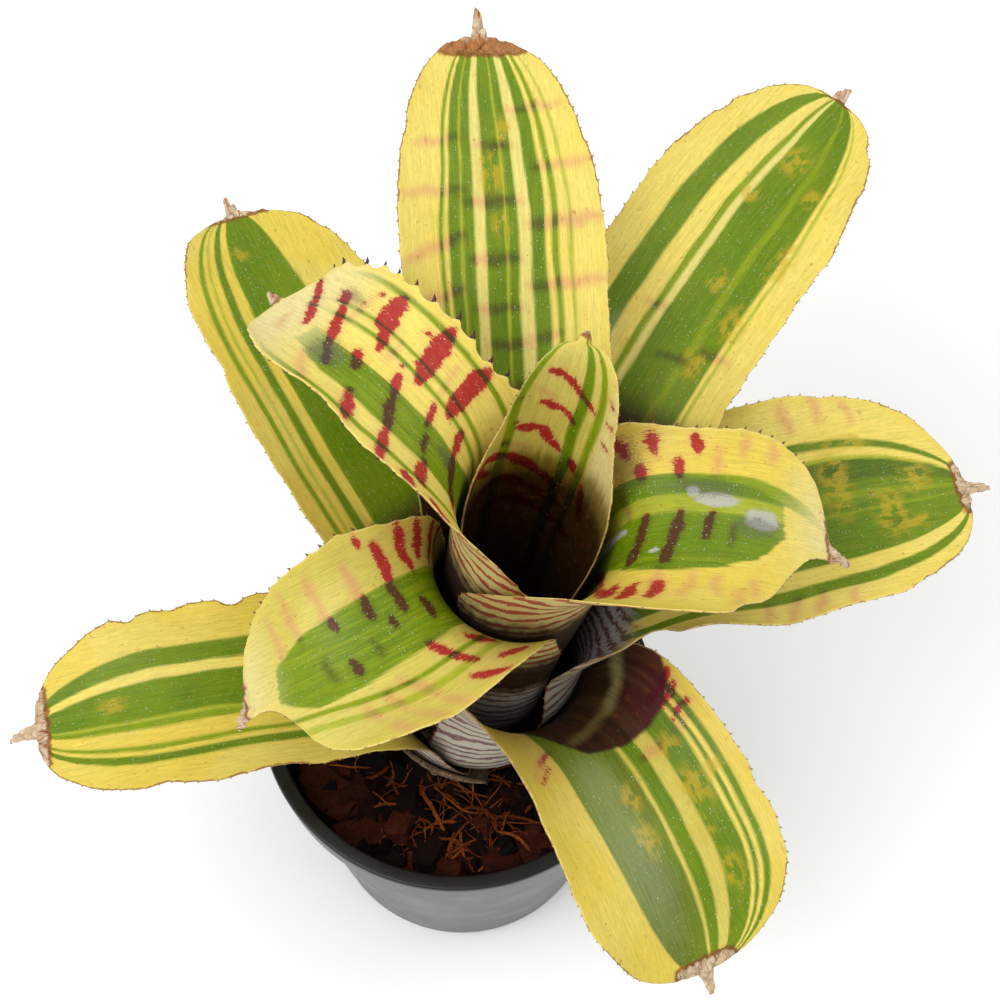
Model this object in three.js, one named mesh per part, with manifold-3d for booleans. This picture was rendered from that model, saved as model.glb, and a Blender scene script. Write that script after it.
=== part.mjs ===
// Neoregelia bromeliad growing in a round plastic nursery pot.
// Millimetres, +Z up, origin at the centre of the pot's underside.
// Each leaf is one strap-shaped blade whose lower end is a sheath wrapped round the short stem.

import * as THREE from 'three';
import Module from 'manifold-3d';
import { mergeVertices } from 'three/addons/utils/BufferGeometryUtils.js';

const wasm = await Module();
wasm.setup();

// Pot: a tapered thin-walled cup with a proud rim band.
const POT_HEIGHT = 98;
const POT_RIM_RADIUS = 55;
const POT_BASE_RADIUS = 40.5;
const POT_WALL = 1.6;
const POT_FLOOR = 2.2;
const POT_BAND_HEIGHT = 11;
const POT_BAND_STEP = 2.2;
const POT_SIDES = 40;
const DRAIN_HOLES = 6;
const DRAIN_RADIUS = 4;
const DRAIN_CIRCLE = 27;

// Potting mix: bark chips and coir fibre, filled to a little below the rim.
const MIX_LEVEL = 82;
const MIX_GAP = 0.4;
const CHIPS = 30;
const FIBRES = 8;

// Plant axis: it starts on the mix beside the pot's centre and leans to one side.
const AXIS_FOOT = new THREE.Vector3(2, 0, 84);
const LEAN_X = 9;
const LEAN_Y = 3;

// Sheaths: nested shells round the axis, numbered in layers from the centre out.
const TANK_RADIUS = 12;
const LAYER_STEP = 1.7;
const BASE_HEIGHT = 27;
const BASE_DROP = 2.4;
const FLARE_LENGTH = 20;
const FLARE_START = 35;
const WALL_ANGLE = 86;

// Blades.
const BLADE_THICKNESS = 1.0;
const SHEATH_THICKNESS = 0.8;
const EDGE_THICKNESS = 0.7;
const TOOTH_PITCH = 8.5;
const TOOTH_WIDTH = 2.2;
const TOOTH_HEIGHT = 1.5;
const APEX_WIDTH = 4.4;

// One entry a leaf. Angles in degrees, lengths in mm.
//   layer   place of the sheath in the nest      azimuth  direction of the blade
//   length  foot of the sheath to the tip        throat   where the sheath ends
//   bend    length over which the leaf arches    rise     slope after the arch
//   droop   slope at the tip                     width    width of the blade
//   swing   sideways curve of the blade          channel  radius of its cross-section
//   wrap    half-angle of the sheath round the axis, held to a half-width of reach
//   neck    width at the throat over width       shoulder share of length where the tip narrows
//   apex    length of the dry point              hook     how far that point turns
//   fold    extra curl of the cross-section where the leaf leaves the nest
//   gather  how far above the throat the sheath starts to narrow     cup  the same for its curl
//   skew    how much wider the left margin (below 0: the right one) stands round the throat
//   curl    what the fold has more on that wider side
const LEAVES = {
  leaf_young: {
    layer: 0, azimuth: 80, length: 137, throat: 92, bend: 60, rise: 80, droop: 60, fold: 0,
    width: 29, swing: 0, channel: 15, wrap: 150, reach: 34, neck: 0.9, shoulder: 0.8, apex: 3,
    hook: 30, gather: 0, cup: 0, skew: 0, curl: 0,
  },
  leaf_inner_left: {
    layer: 1.2, azimuth: 155, length: 172, throat: 92, bend: 32, rise: 36, droop: -34, fold: 0,
    width: 41, swing: -22, channel: 32, wrap: 125, reach: 36, neck: 0.88, shoulder: 0.84, apex: 4,
    hook: -60, gather: 12, cup: 16, skew: 5, curl: 0,
  },
  leaf_inner_right: {
    layer: 2.35, azimuth: -6, length: 152, throat: 88, bend: 28, rise: 10, droop: -24, fold: 0,
    width: 52, swing: 9, channel: 36, wrap: 125, reach: 37, neck: 0.88, shoulder: 0.8, apex: 9,
    hook: 50, gather: 14, cup: 8, skew: -11.5, curl: 0,
  },
  leaf_middle_left: {
    layer: 3.35, azimuth: 225, length: 148, throat: 72, bend: 28, rise: 5, droop: -58, fold: 0,
    width: 58, swing: -37, channel: 38, wrap: 115, reach: 30, neck: 0.76, shoulder: 0.64, apex: 8,
    hook: 60, gather: 10, cup: 18, skew: 0, curl: 0,
  },
  leaf_back: {
    layer: 4.2, azimuth: 101, length: 195, throat: 63, bend: 50, rise: 43, droop: 12, fold: 0,
    width: 53, swing: -3, channel: 60, wrap: 115, reach: 23, neck: 0.88, shoulder: 0.7, apex: 8,
    hook: 10, gather: 0, cup: 0, skew: 0, curl: 0,
  },
  leaf_front: {
    layer: 7.35, azimuth: -55, length: 128.5, throat: 30, bend: 46, rise: 11, droop: -30, fold: 0.014,
    width: 60, swing: -8, channel: 50, wrap: 76, reach: 20, neck: 0.56, shoulder: 0.76, apex: 7,
    hook: 40, gather: 8, cup: 0, skew: -10, curl: 0,
  },
  leaf_lower_left: {
    layer: 8.2, azimuth: 196.5, length: 128, throat: 21, bend: 30, rise: 12, droop: -18, fold: 0,
    width: 50, swing: -6, channel: 60, wrap: 75, reach: 34, neck: 0.88, shoulder: 0.72, apex: 9,
    hook: 60, gather: 0, cup: 0, skew: 0, curl: 0,
  },
  leaf_back_right: {
    layer: 5.2, azimuth: 62.5, length: 206, throat: 41, bend: 50, rise: 35, droop: 2, fold: 0,
    width: 53, swing: -9, channel: 60, wrap: 65, reach: 13, neck: 0.74, shoulder: 0.72, apex: 8,
    hook: 40, gather: 0, cup: 0, skew: 0, curl: 0,
  },
  leaf_back_left: {
    layer: 7.2, azimuth: 140, length: 163, throat: 35, bend: 50, rise: 32, droop: -6, fold: 0,
    width: 51, swing: -25.5, channel: 60, wrap: 80, reach: 26, neck: 0.8, shoulder: 0.74, apex: 7,
    hook: 40, gather: 0, cup: 0, skew: 0, curl: 0,
  },
  leaf_lower_right: {
    layer: 6.45, azimuth: 17.5, length: 160, throat: 39, bend: 49, rise: 21, droop: 2, fold: 0,
    width: 65, swing: -5, channel: 60, wrap: 75, reach: 21, neck: 0.6, shoulder: 0.68, apex: 8,
    hook: 40, gather: 8, cup: 0, skew: -10, curl: 0.018,
  },
};

// A dead basal leaf, worn back to its sheath.
const DRY_SHEATH = {
  layer: 9.2, azimuth: 246, length: 23, throat: 14, bend: 8, rise: 60, droop: 50, fold: 0,
  width: 30, swing: 0, channel: 40, wrap: 40, reach: 24, neck: 0.9, shoulder: 0.7, apex: 2,
  hook: 0, gather: 0, cup: 0, skew: 0, curl: 0,
};

const COLOURS = {
  pot: 0x2b2c2e,
  mix: 0x3a2216,
  stem: 0x8a7a5a,
  leaf: 0xb9c04a,
  inner_leaf: 0xc7b95a,
  dry: 0x9a8566,
};

const RAD = Math.PI / 180;

function ease(from, to, x) {
  const t = Math.min(Math.max((x - from) / (to - from), 0), 1);
  return t * t * (3 - 2 * t);
}

function blend(a, b, t) {
  return a + (b - a) * t;
}

// Repeatable pseudo-random numbers in 0..1.
function numberSource(seed) {
  let state = seed;
  return () => {
    state = (state * 1664525 + 1013904223) % 4294967296;
    return state / 4294967296;
  };
}

function leanFrame() {
  const up = new THREE.Vector3(Math.tan(LEAN_X * RAD), Math.tan(LEAN_Y * RAD), 1).normalize();
  const across = new THREE.Vector3(1, 0, 0).addScaledVector(up, -up.x).normalize();
  const back = new THREE.Vector3().crossVectors(up, across);
  return new THREE.Matrix4().makeBasis(across, back, up).setPosition(AXIS_FOOT);
}

// Slope of a leaf's midline above the horizontal, at s millimetres from its foot.
function slopeAt(leaf, s) {
  const arch = leaf.throat + leaf.bend;
  let slope = blend(FLARE_START, WALL_ANGLE, ease(0, FLARE_LENGTH, s));
  slope += (leaf.rise - WALL_ANGLE) * ease(leaf.throat, arch, s);
  slope += (leaf.droop - leaf.rise) * ease(leaf.throat + 0.6 * leaf.bend, leaf.length, s);
  slope += leaf.hook * -0.5 * ease(leaf.length - 4, leaf.length + leaf.apex, s);
  return slope;
}

// The midline in steps of half a millimetre: point, slope and direction.
function midline(leaf) {
  const step = 0.5;
  const count = Math.ceil((leaf.length + leaf.apex) / step) + 1;
  const radius = TANK_RADIUS + LAYER_STEP * leaf.layer;
  let run = 0;
  for (let i = 0; i < FLARE_LENGTH / step; i += 1) {
    run += step * Math.cos(slopeAt(leaf, (i + 0.5) * step) * RAD);
  }
  const start = radius - run;
  const line = [];
  const point = new THREE.Vector3(
    start * Math.cos(leaf.azimuth * RAD),
    start * Math.sin(leaf.azimuth * RAD),
    BASE_HEIGHT - BASE_DROP * leaf.layer,
  );
  for (let i = 0; i < count; i += 1) {
    const s = i * step;
    const heading = (leaf.azimuth + leaf.swing * ease(leaf.throat, leaf.length, s)) * RAD;
    const slope = slopeAt(leaf, s) * RAD;
    line.push({ point: point.clone(), slope, heading });
    point.x += step * Math.cos(slope) * Math.cos(heading);
    point.y += step * Math.cos(slope) * Math.sin(heading);
    point.z += step * Math.sin(slope);
  }
  return { step, line };
}

// Half-width of the leaf, as sheath, blade and dry point in turn.
function halfWidth(leaf, s, radius) {
  const share = s / leaf.length;
  const throat = leaf.throat / leaf.length;
  const neck = blend(leaf.neck, 1, ease(throat, throat + 0.25, share));
  const x = Math.min(Math.max((share - leaf.shoulder) / (1 - leaf.shoulder), 0), 1);
  const point = APEX_WIDTH / 2;
  let blade = point + (leaf.width / 2 - point) * neck * Math.sqrt(1 - x ** 2.2);
  if (s > leaf.length) {
    blade = blend(point, 0.6, (s - leaf.length) / leaf.apex);
  }
  const sheath = Math.min(leaf.wrap * RAD * radius, leaf.reach);
  const start = leaf.throat - 22 + leaf.gather;
  const end = leaf.throat + 0.5 * leaf.bend + leaf.gather;
  return blend(sheath, blade, ease(start, end, s));
}

// Extra half-width of one side round the throat.
function skewAt(leaf, s, u) {
  const bump = ease(leaf.throat - 30, leaf.throat - 5, s) * (1 - ease(leaf.throat + 10, leaf.throat + 55, s));
  return bump * Math.max(leaf.skew * Math.sign(u), 0);
}

// Point of the leaf's middle surface at length s and share u (-1..1) of its half-width.
function surfacePoint(leaf, path, s, u) {
  const place = Math.min(Math.max(s / path.step, 0), path.line.length - 1.001);
  const low = Math.floor(place);
  const part = place - low;
  const a = path.line[low];
  const b = path.line[low + 1];
  const centre = a.point.clone().lerp(b.point, part);
  const slope = blend(a.slope, b.slope, part);
  const heading = blend(a.heading, b.heading, part);
  const radius = Math.hypot(centre.x, centre.y);
  const arch = leaf.throat + leaf.bend;
  const open = ease(leaf.throat - 10 + leaf.cup, arch + leaf.cup, s);
  const folded = ease(leaf.throat - 4, leaf.throat + 16, s) * (1 - ease(arch - 15, arch + 20, s));
  const fold = leaf.fold + (leaf.skew * u > 0 ? leaf.curl : 0);
  const curve = blend(1 / radius, 1 / leaf.channel, open) + fold * folded;
  const tilt = (Math.PI / 2 - slope) * ease(leaf.throat - 15, leaf.throat + 0.7 * leaf.bend, s);
  const across = u * (halfWidth(leaf, s, radius) + skewAt(leaf, s, u));
  const side = Math.sin(curve * across) / curve;
  const lift = (1 - Math.cos(curve * across)) / curve;
  const outX = Math.cos(heading);
  const outY = Math.sin(heading);
  return new THREE.Vector3(
    centre.x - outY * side - outX * Math.cos(tilt) * lift,
    centre.y + outX * side - outY * Math.cos(tilt) * lift,
    centre.z + Math.sin(tilt) * lift,
  );
}

function surfaceNormal(leaf, path, s, u) {
  const end = leaf.length + leaf.apex;
  const s0 = Math.max(s - 0.6, 0);
  const s1 = Math.min(s + 0.6, end - 0.3);
  const along = surfacePoint(leaf, path, s1, u).sub(surfacePoint(leaf, path, s0, u));
  const across = surfacePoint(leaf, path, s, u + 0.02).sub(surfacePoint(leaf, path, s, u - 0.02));
  return along.cross(across).normalize();
}

// Lengths at which the leaf's cross-sections stand, and which gaps between them carry teeth.
function stations(leaf) {
  const rows = [];
  const sheathEnd = Math.max(leaf.throat - 16, 8);
  const sheathRows = Math.max(Math.ceil((sheathEnd - 18) / 18), 1);
  [0, 6, 12].forEach((s) => rows.push({ s, tooth: false }));
  for (let i = 0; i < sheathRows; i += 1) {
    const s = blend(18, sheathEnd, i / sheathRows);
    if (s > rows[rows.length - 1].s + 3) {
      rows.push({ s, tooth: false });
    }
  }
  const shoulder = leaf.shoulder * leaf.length;
  const bladeRows = Math.max(Math.round((shoulder - sheathEnd) / TOOTH_PITCH), 2);
  for (let i = 0; i < bladeRows; i += 1) {
    const s = blend(sheathEnd, shoulder, i / bladeRows);
    if (s > rows[rows.length - 1].s + 3) {
      rows.push({ s, tooth: s > leaf.throat - 14 });
    }
  }
  [0, 0.35, 0.62, 0.82, 0.94].forEach((x, i) => {
    rows.push({ s: blend(shoulder, leaf.length, x), tooth: i < 3 });
  });
  rows.push({ s: leaf.length + 0.1, tooth: false });
  rows.push({ s: leaf.length + leaf.apex * 0.55, tooth: false });
  rows.push({ s: leaf.length + leaf.apex, tooth: false });
  return rows;
}

// Shares of the half-width at which a cross-section has points: finer round a sheath.
function columns(leaf, s) {
  if (s < leaf.throat + 0.1 * leaf.bend) {
    return [-1, -0.78, -0.52, -0.26, 0, 0.26, 0.52, 0.78, 1];
  }
  if (s > leaf.length) {
    return [-1, 0, 1];
  }
  return [-1, -0.62, 0, 0.62, 1];
}

function thickness(leaf, s, u) {
  const body = blend(SHEATH_THICKNESS, BLADE_THICKNESS, ease(leaf.throat, leaf.throat + leaf.bend, s));
  return blend(body, EDGE_THICKNESS, Math.abs(u) ** 3);
}

// Triangles between two chains of points that run the same way with different counts.
function joinChains(low, high, emit) {
  let i = 0;
  let j = 0;
  while (i < low.length - 1 || j < high.length - 1) {
    const nextLow = i < low.length - 1 ? low[i + 1].at : Infinity;
    const nextHigh = j < high.length - 1 ? high[j + 1].at : Infinity;
    if (nextLow <= nextHigh) {
      emit(low[i].id, low[i + 1].id, high[j].id);
      i += 1;
    } else {
      emit(low[i].id, high[j + 1].id, high[j].id);
      j += 1;
    }
  }
}

// The leaf as one closed shell: both faces, the edge between them and the teeth on that edge.
function leafGeometry(leaf, placement) {
  const path = midline(leaf);
  const rows = stations(leaf);
  const points = [];
  const faces = [];
  const addPoint = (p) => {
    points.push(p.applyMatrix4(placement));
    return points.length - 1;
  };
  const pair = (s, u) => {
    const centre = surfacePoint(leaf, path, s, u);
    const normal = surfaceNormal(leaf, path, s, u);
    const half = thickness(leaf, s, u) / 2;
    return {
      s,
      u,
      top: addPoint(centre.clone().addScaledVector(normal, -half)),
      under: addPoint(centre.clone().addScaledVector(normal, half)),
    };
  };
  const sections = rows.map((row) => columns(leaf, row.s).map((u) => pair(row.s, u)));
  const addFace = (turned, a, b, c) => faces.push(turned ? [a, c, b] : [a, b, c]);

  for (let i = 0; i < rows.length - 1; i += 1) {
    const here = sections[i];
    const next = sections[i + 1];
    const middle = (rows[i].s + rows[i + 1].s) / 2;
    const inner = [here.slice(1, -1), next.slice(1, -1)];
    ['top', 'under'].forEach((face) => {
      const chains = inner.map((row) => row.map((q) => ({ at: q.u, id: q[face] })));
      joinChains(chains[0], chains[1], (a, b, c) => addFace(face === 'under', a, b, c));
    });
    [-1, 1].forEach((u) => {
      const right = u > 0;
      const ends = right ? [here.at(-1), next.at(-1)] : [here[0], next[0]];
      const inside = right ? [here.at(-2), next.at(-2)] : [here[1], next[1]];
      const edge = [ends[0], ends[1]];
      if (rows[i].tooth) {
        edge.splice(1, 0, pair(middle - TOOTH_WIDTH / 2, u), pair(middle + TOOTH_WIDTH / 2, u));
      }
      ['top', 'under'].forEach((face) => {
        const chains = [inside, edge].map((row) => row.map((q) => ({ at: q.s, id: q[face] })));
        joinChains(chains[0], chains[1], (a, b, c) => addFace(right !== (face === 'under'), a, b, c));
      });
      for (let k = 0; k < edge.length - 1; k += 1) {
        const p = edge[k];
        const q = edge[k + 1];
        const ring = [q.top, p.top, p.under, q.under];
        if (rows[i].tooth && k === 1) {
          const root = surfacePoint(leaf, path, middle, u);
          const out = root.clone().sub(surfacePoint(leaf, path, middle, u * 0.9)).normalize();
          const tip = addPoint(root.addScaledVector(out, TOOTH_HEIGHT));
          ring.forEach((a, n) => addFace(!right, a, ring[(n + 1) % 4], tip));
        } else {
          addFace(!right, ring[0], ring[1], ring[2]);
          addFace(!right, ring[0], ring[2], ring[3]);
        }
      }
    });
  }
  const foot = sections[0];
  const end = sections.at(-1);
  for (let j = 0; j < foot.length - 1; j += 1) {
    faces.push([foot[j + 1].top, foot[j].top, foot[j].under]);
    faces.push([foot[j + 1].top, foot[j].under, foot[j + 1].under]);
  }
  for (let j = 0; j < end.length - 1; j += 1) {
    faces.push([end[j].top, end[j + 1].top, end[j].under]);
    faces.push([end[j].under, end[j + 1].top, end[j + 1].under]);
  }
  return facingOut(geometryOf(points.flatMap((p) => [p.x, p.y, p.z]), faces.flat()));
}

function geometryOf(positions, index) {
  const geometry = new THREE.BufferGeometry();
  geometry.setAttribute('position', new THREE.Float32BufferAttribute(positions, 3));
  geometry.setIndex(index);
  return geometry;
}

function enclosedVolume(geometry) {
  const position = geometry.getAttribute('position');
  const index = geometry.getIndex().array;
  const corner = [new THREE.Vector3(), new THREE.Vector3(), new THREE.Vector3()];
  let sum = 0;
  for (let i = 0; i < index.length; i += 3) {
    corner.forEach((c, k) => c.fromBufferAttribute(position, index[i + k]));
    sum += corner[0].dot(corner[1].clone().cross(corner[2])) / 6;
  }
  return sum;
}

function facingOut(geometry) {
  if (enclosedVolume(geometry) < 0) {
    const index = geometry.getIndex();
    for (let i = 0; i < index.count; i += 3) {
      const kept = index.getX(i);
      index.setX(i, index.getX(i + 1));
      index.setX(i + 1, kept);
    }
  }
  return geometry;
}

function solidOf(geometry) {
  const bare = geometry.clone();
  bare.deleteAttribute('normal');
  bare.deleteAttribute('uv');
  const merged = facingOut(mergeVertices(bare, 1e-4));
  return new wasm.Manifold(new wasm.Mesh({
    numProp: 3,
    vertProperties: new Float32Array(merged.getAttribute('position').array),
    triVerts: new Uint32Array(merged.getIndex().array),
  }));
}

function geometryFrom(solid) {
  const mesh = solid.getMesh();
  return geometryOf(Array.from(mesh.vertProperties), Array.from(mesh.triVerts));
}

// A solid of revolution about Z from [radius, height] pairs that start and end on the axis
// or close on themselves.
function turned(profile, sides) {
  const geometry = new THREE.LatheGeometry(profile.map(([r, z]) => new THREE.Vector2(r, z)), sides);
  return geometry.rotateX(Math.PI / 2);
}

// Outer radius of the pot's wall below the rim band, at height z.
function wallRadius(z) {
  return blend(POT_BASE_RADIUS, POT_RIM_RADIUS - POT_BAND_STEP, z / POT_HEIGHT);
}

function potGeometry() {
  const bandFoot = POT_HEIGHT - POT_BAND_HEIGHT;
  const profile = [
    [0, 0],
    [POT_BASE_RADIUS - 1.5, 0],
    [POT_BASE_RADIUS, 1.5],
    [wallRadius(bandFoot), bandFoot],
    [POT_RIM_RADIUS - 1, bandFoot],
    [POT_RIM_RADIUS - 0.4, POT_HEIGHT - 2.4],
    [POT_RIM_RADIUS, POT_HEIGHT - 1.6],
    [POT_RIM_RADIUS - 0.5, POT_HEIGHT],
    [wallRadius(POT_HEIGHT) - POT_WALL - 0.2, POT_HEIGHT],
    [wallRadius(POT_HEIGHT) - POT_WALL - 0.6, POT_HEIGHT - 1],
    [wallRadius(bandFoot) - POT_WALL, bandFoot - 1],
    [POT_BASE_RADIUS - POT_WALL, POT_FLOOR],
    [0, POT_FLOOR],
  ];
  let pot = solidOf(turned(profile, POT_SIDES));
  for (let i = 0; i < DRAIN_HOLES; i += 1) {
    const angle = (i / DRAIN_HOLES) * 2 * Math.PI;
    const hole = new THREE.CylinderGeometry(DRAIN_RADIUS, DRAIN_RADIUS, POT_FLOOR + 4, 12)
      .rotateX(Math.PI / 2)
      .translate(DRAIN_CIRCLE * Math.cos(angle), DRAIN_CIRCLE * Math.sin(angle), POT_FLOOR / 2);
    pot = pot.subtract(solidOf(hole));
  }
  return geometryFrom(pot);
}

// Radius and height of the stem along the leaning axis: a short cone with a root below.
const STEM_PROFILE = [
  [0, -30],
  [7, -27],
  [11, -14],
  [15.2, -2],
  [15.2, 4],
  [9.2, 14],
  [4.2, 21],
  [1.4, 24.5],
  [0, 25],
];

function stemGeometry(placement) {
  return geometryFrom(solidOf(turned(STEM_PROFILE, 20).applyMatrix4(placement)));
}

// A chip of bark: a box with its corners pushed about.
function chip(random) {
  const size = [6 + 7 * random(), 4 + 5 * random(), 2.5 + 2 * random()];
  const geometry = new THREE.BoxGeometry(...size);
  geometry.deleteAttribute('normal');
  geometry.deleteAttribute('uv');
  const merged = mergeVertices(geometry);
  const position = merged.getAttribute('position');
  for (let i = 0; i < position.count; i += 1) {
    position.setXYZ(
      i,
      position.getX(i) * (0.7 + 0.45 * random()),
      position.getY(i) * (0.65 + 0.5 * random()),
      position.getZ(i) * (0.8 + 0.3 * random()),
    );
  }
  return merged;
}

// A coir fibre: a four-sided strand through a bent line of points.
function fibre(points, radius) {
  const positions = [];
  const index = [];
  points.forEach((p, i) => {
    const before = points[Math.max(i - 1, 0)];
    const after = points[Math.min(i + 1, points.length - 1)];
    const along = after.clone().sub(before).normalize();
    const side = new THREE.Vector3(-along.y, along.x, 0).normalize();
    const up = new THREE.Vector3().crossVectors(along, side);
    [[1, 0], [0, 1], [-1, 0], [0, -1]].forEach(([a, b]) => {
      const q = p.clone().addScaledVector(side, a * radius).addScaledVector(up, b * radius);
      positions.push(q.x, q.y, q.z);
    });
  });
  for (let i = 0; i < points.length - 1; i += 1) {
    for (let k = 0; k < 4; k += 1) {
      const a = i * 4 + k;
      const b = i * 4 + ((k + 1) % 4);
      index.push(a, b, a + 4, b, b + 4, a + 4);
    }
  }
  const last = (points.length - 1) * 4;
  index.push(0, 2, 1, 0, 3, 2, last, last + 1, last + 2, last, last + 2, last + 3);
  return geometryOf(positions, index);
}

function mixGeometry(placement) {
  const random = numberSource(7);
  const inside = (z) => wallRadius(z) - POT_WALL - MIX_GAP;
  const foot = POT_FLOOR + MIX_GAP;
  let mix = solidOf(turned([
    [0, foot],
    [inside(foot) - 0.4, foot],
    [inside(MIX_LEVEL) - 0.4, MIX_LEVEL],
    [inside(MIX_LEVEL) - 9, MIX_LEVEL - 1.5],
    [24, MIX_LEVEL + 0.5],
    [0, MIX_LEVEL + 0.5],
  ], POT_SIDES));
  for (let i = 0; i < CHIPS; i += 1) {
    const turn = i * 2.4;
    const reach = 21 + 23 * Math.sqrt((i + 0.5) / CHIPS);
    const piece = chip(random)
      .rotateX((random() - 0.5) * 0.9)
      .rotateY((random() - 0.5) * 0.9)
      .rotateZ(random() * 6.28)
      .translate(reach * Math.cos(turn), reach * Math.sin(turn), MIX_LEVEL + 0.4 + random());
    mix = mix.add(solidOf(piece));
  }
  for (let i = 0; i < FIBRES; i += 1) {
    const turn = -1.6 + (i - FIBRES / 2) * 0.42;
    const start = new THREE.Vector3(24 * Math.cos(turn), 24 * Math.sin(turn), MIX_LEVEL);
    const heading = turn + (random() - 0.5) * 1.6;
    const line = [start];
    for (let k = 1; k < 4; k += 1) {
      const bearing = heading + (random() - 0.5) * 1.1;
      const step = 4 + 2.5 * random();
      const from = line[k - 1];
      line.push(new THREE.Vector3(
        from.x + step * Math.cos(bearing),
        from.y + step * Math.sin(bearing),
        k === 3 ? MIX_LEVEL - 1 : MIX_LEVEL + 1.6 + 1.6 * random(),
      ));
    }
    mix = mix.add(solidOf(fibre(line, 0.6)));
  }
  const bounds = solidOf(turned([
    [0, 0],
    [inside(0) - 0.4, 0],
    [inside(MIX_LEVEL + 8) - 0.4, MIX_LEVEL + 8],
    [0, MIX_LEVEL + 8],
  ], POT_SIDES));
  const hole = STEM_PROFILE.map(([r, z]) => [r === 0 ? 0 : r + 0.6, z < 0 ? z - 0.6 : z]);
  hole.splice(hole.length - 4, 4, [15.8, 30], [0, 30]);
  const stemHole = solidOf(turned(hole, 20).applyMatrix4(placement));
  const pieces = mix.intersect(bounds).subtract(stemHole).decompose();
  const size = (piece) => piece.volume();
  return geometryFrom(pieces.reduce((kept, piece) => (size(piece) > size(kept) ? piece : kept)));
}

function mesh(name, geometry, colour) {
  const flat = geometry.toNonIndexed();
  flat.computeVertexNormals();
  const material = new THREE.MeshStandardMaterial({ color: colour, roughness: 0.6, metalness: 0 });
  const result = new THREE.Mesh(flat, material);
  result.name = name;
  return result;
}

const plant = new THREE.Group();
plant.name = 'neoregelia';
const placement = leanFrame();
plant.add(mesh('pot', potGeometry(), COLOURS.pot));
plant.add(mesh('potting_mix', mixGeometry(placement), COLOURS.mix));
plant.add(mesh('stem', stemGeometry(placement), COLOURS.stem));
Object.entries(LEAVES).forEach(([name, leaf]) => {
  const inner = leaf.layer < 4;
  plant.add(mesh(name, leafGeometry(leaf, placement), inner ? COLOURS.inner_leaf : COLOURS.leaf));
});
plant.add(mesh('dry_sheath', leafGeometry(DRY_SHEATH, placement), COLOURS.dry));

export default plant;
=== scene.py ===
"""Potted neoregelia bromeliad: fine leaves, pot, potting mix and stem over the plain solids.

Lengths are in millimetres until a mesh is made, which is in metres. Every leaf is one strap:
s runs along it from the foot of its sheath, w runs across it from its midline.
"""

import math

import bpy
import numpy as np
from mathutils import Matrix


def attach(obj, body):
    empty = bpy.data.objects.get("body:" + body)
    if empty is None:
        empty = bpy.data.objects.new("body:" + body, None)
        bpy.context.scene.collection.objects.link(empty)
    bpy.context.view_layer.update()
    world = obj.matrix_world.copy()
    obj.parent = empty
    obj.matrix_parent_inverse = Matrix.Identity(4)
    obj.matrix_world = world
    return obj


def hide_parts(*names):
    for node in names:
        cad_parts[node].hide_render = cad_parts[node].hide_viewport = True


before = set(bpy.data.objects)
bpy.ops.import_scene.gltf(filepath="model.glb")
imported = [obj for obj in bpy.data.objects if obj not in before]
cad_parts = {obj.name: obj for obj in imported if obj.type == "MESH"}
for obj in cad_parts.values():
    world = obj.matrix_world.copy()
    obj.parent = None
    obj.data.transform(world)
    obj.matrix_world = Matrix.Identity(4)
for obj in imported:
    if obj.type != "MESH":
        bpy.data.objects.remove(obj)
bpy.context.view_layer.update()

MM = 0.001
DEGREE = math.pi / 180

# Pot and potting mix.
POT_HEIGHT = 98
POT_RIM_RADIUS = 55
POT_BASE_RADIUS = 40.5
POT_WALL = 1.6
POT_FLOOR = 2.2
POT_BAND_HEIGHT = 11
POT_BAND_STEP = 2.2
DRAIN_HOLES = 6
DRAIN_RADIUS = 4
DRAIN_CIRCLE = 27
MIX_LEVEL = 82
MIX_GAP = 0.4

# Plant axis.
AXIS_FOOT = (2, 0, 84)
LEAN_X = 9
LEAN_Y = 3

# Sheaths and blades.
TANK_RADIUS = 12
LAYER_STEP = 1.7
BASE_HEIGHT = 27
BASE_DROP = 2.4
FLARE_LENGTH = 20
FLARE_START = 35
WALL_ANGLE = 86
BLADE_THICKNESS = 1.0
SHEATH_THICKNESS = 0.8
EDGE_THICKNESS = 0.5
APEX_WIDTH = 4.4

LEAF_FIELDS = (
    "layer azimuth length throat bend rise droop fold width swing channel wrap reach neck"
    " shoulder apex hook gather cup skew curl"
).split()

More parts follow.
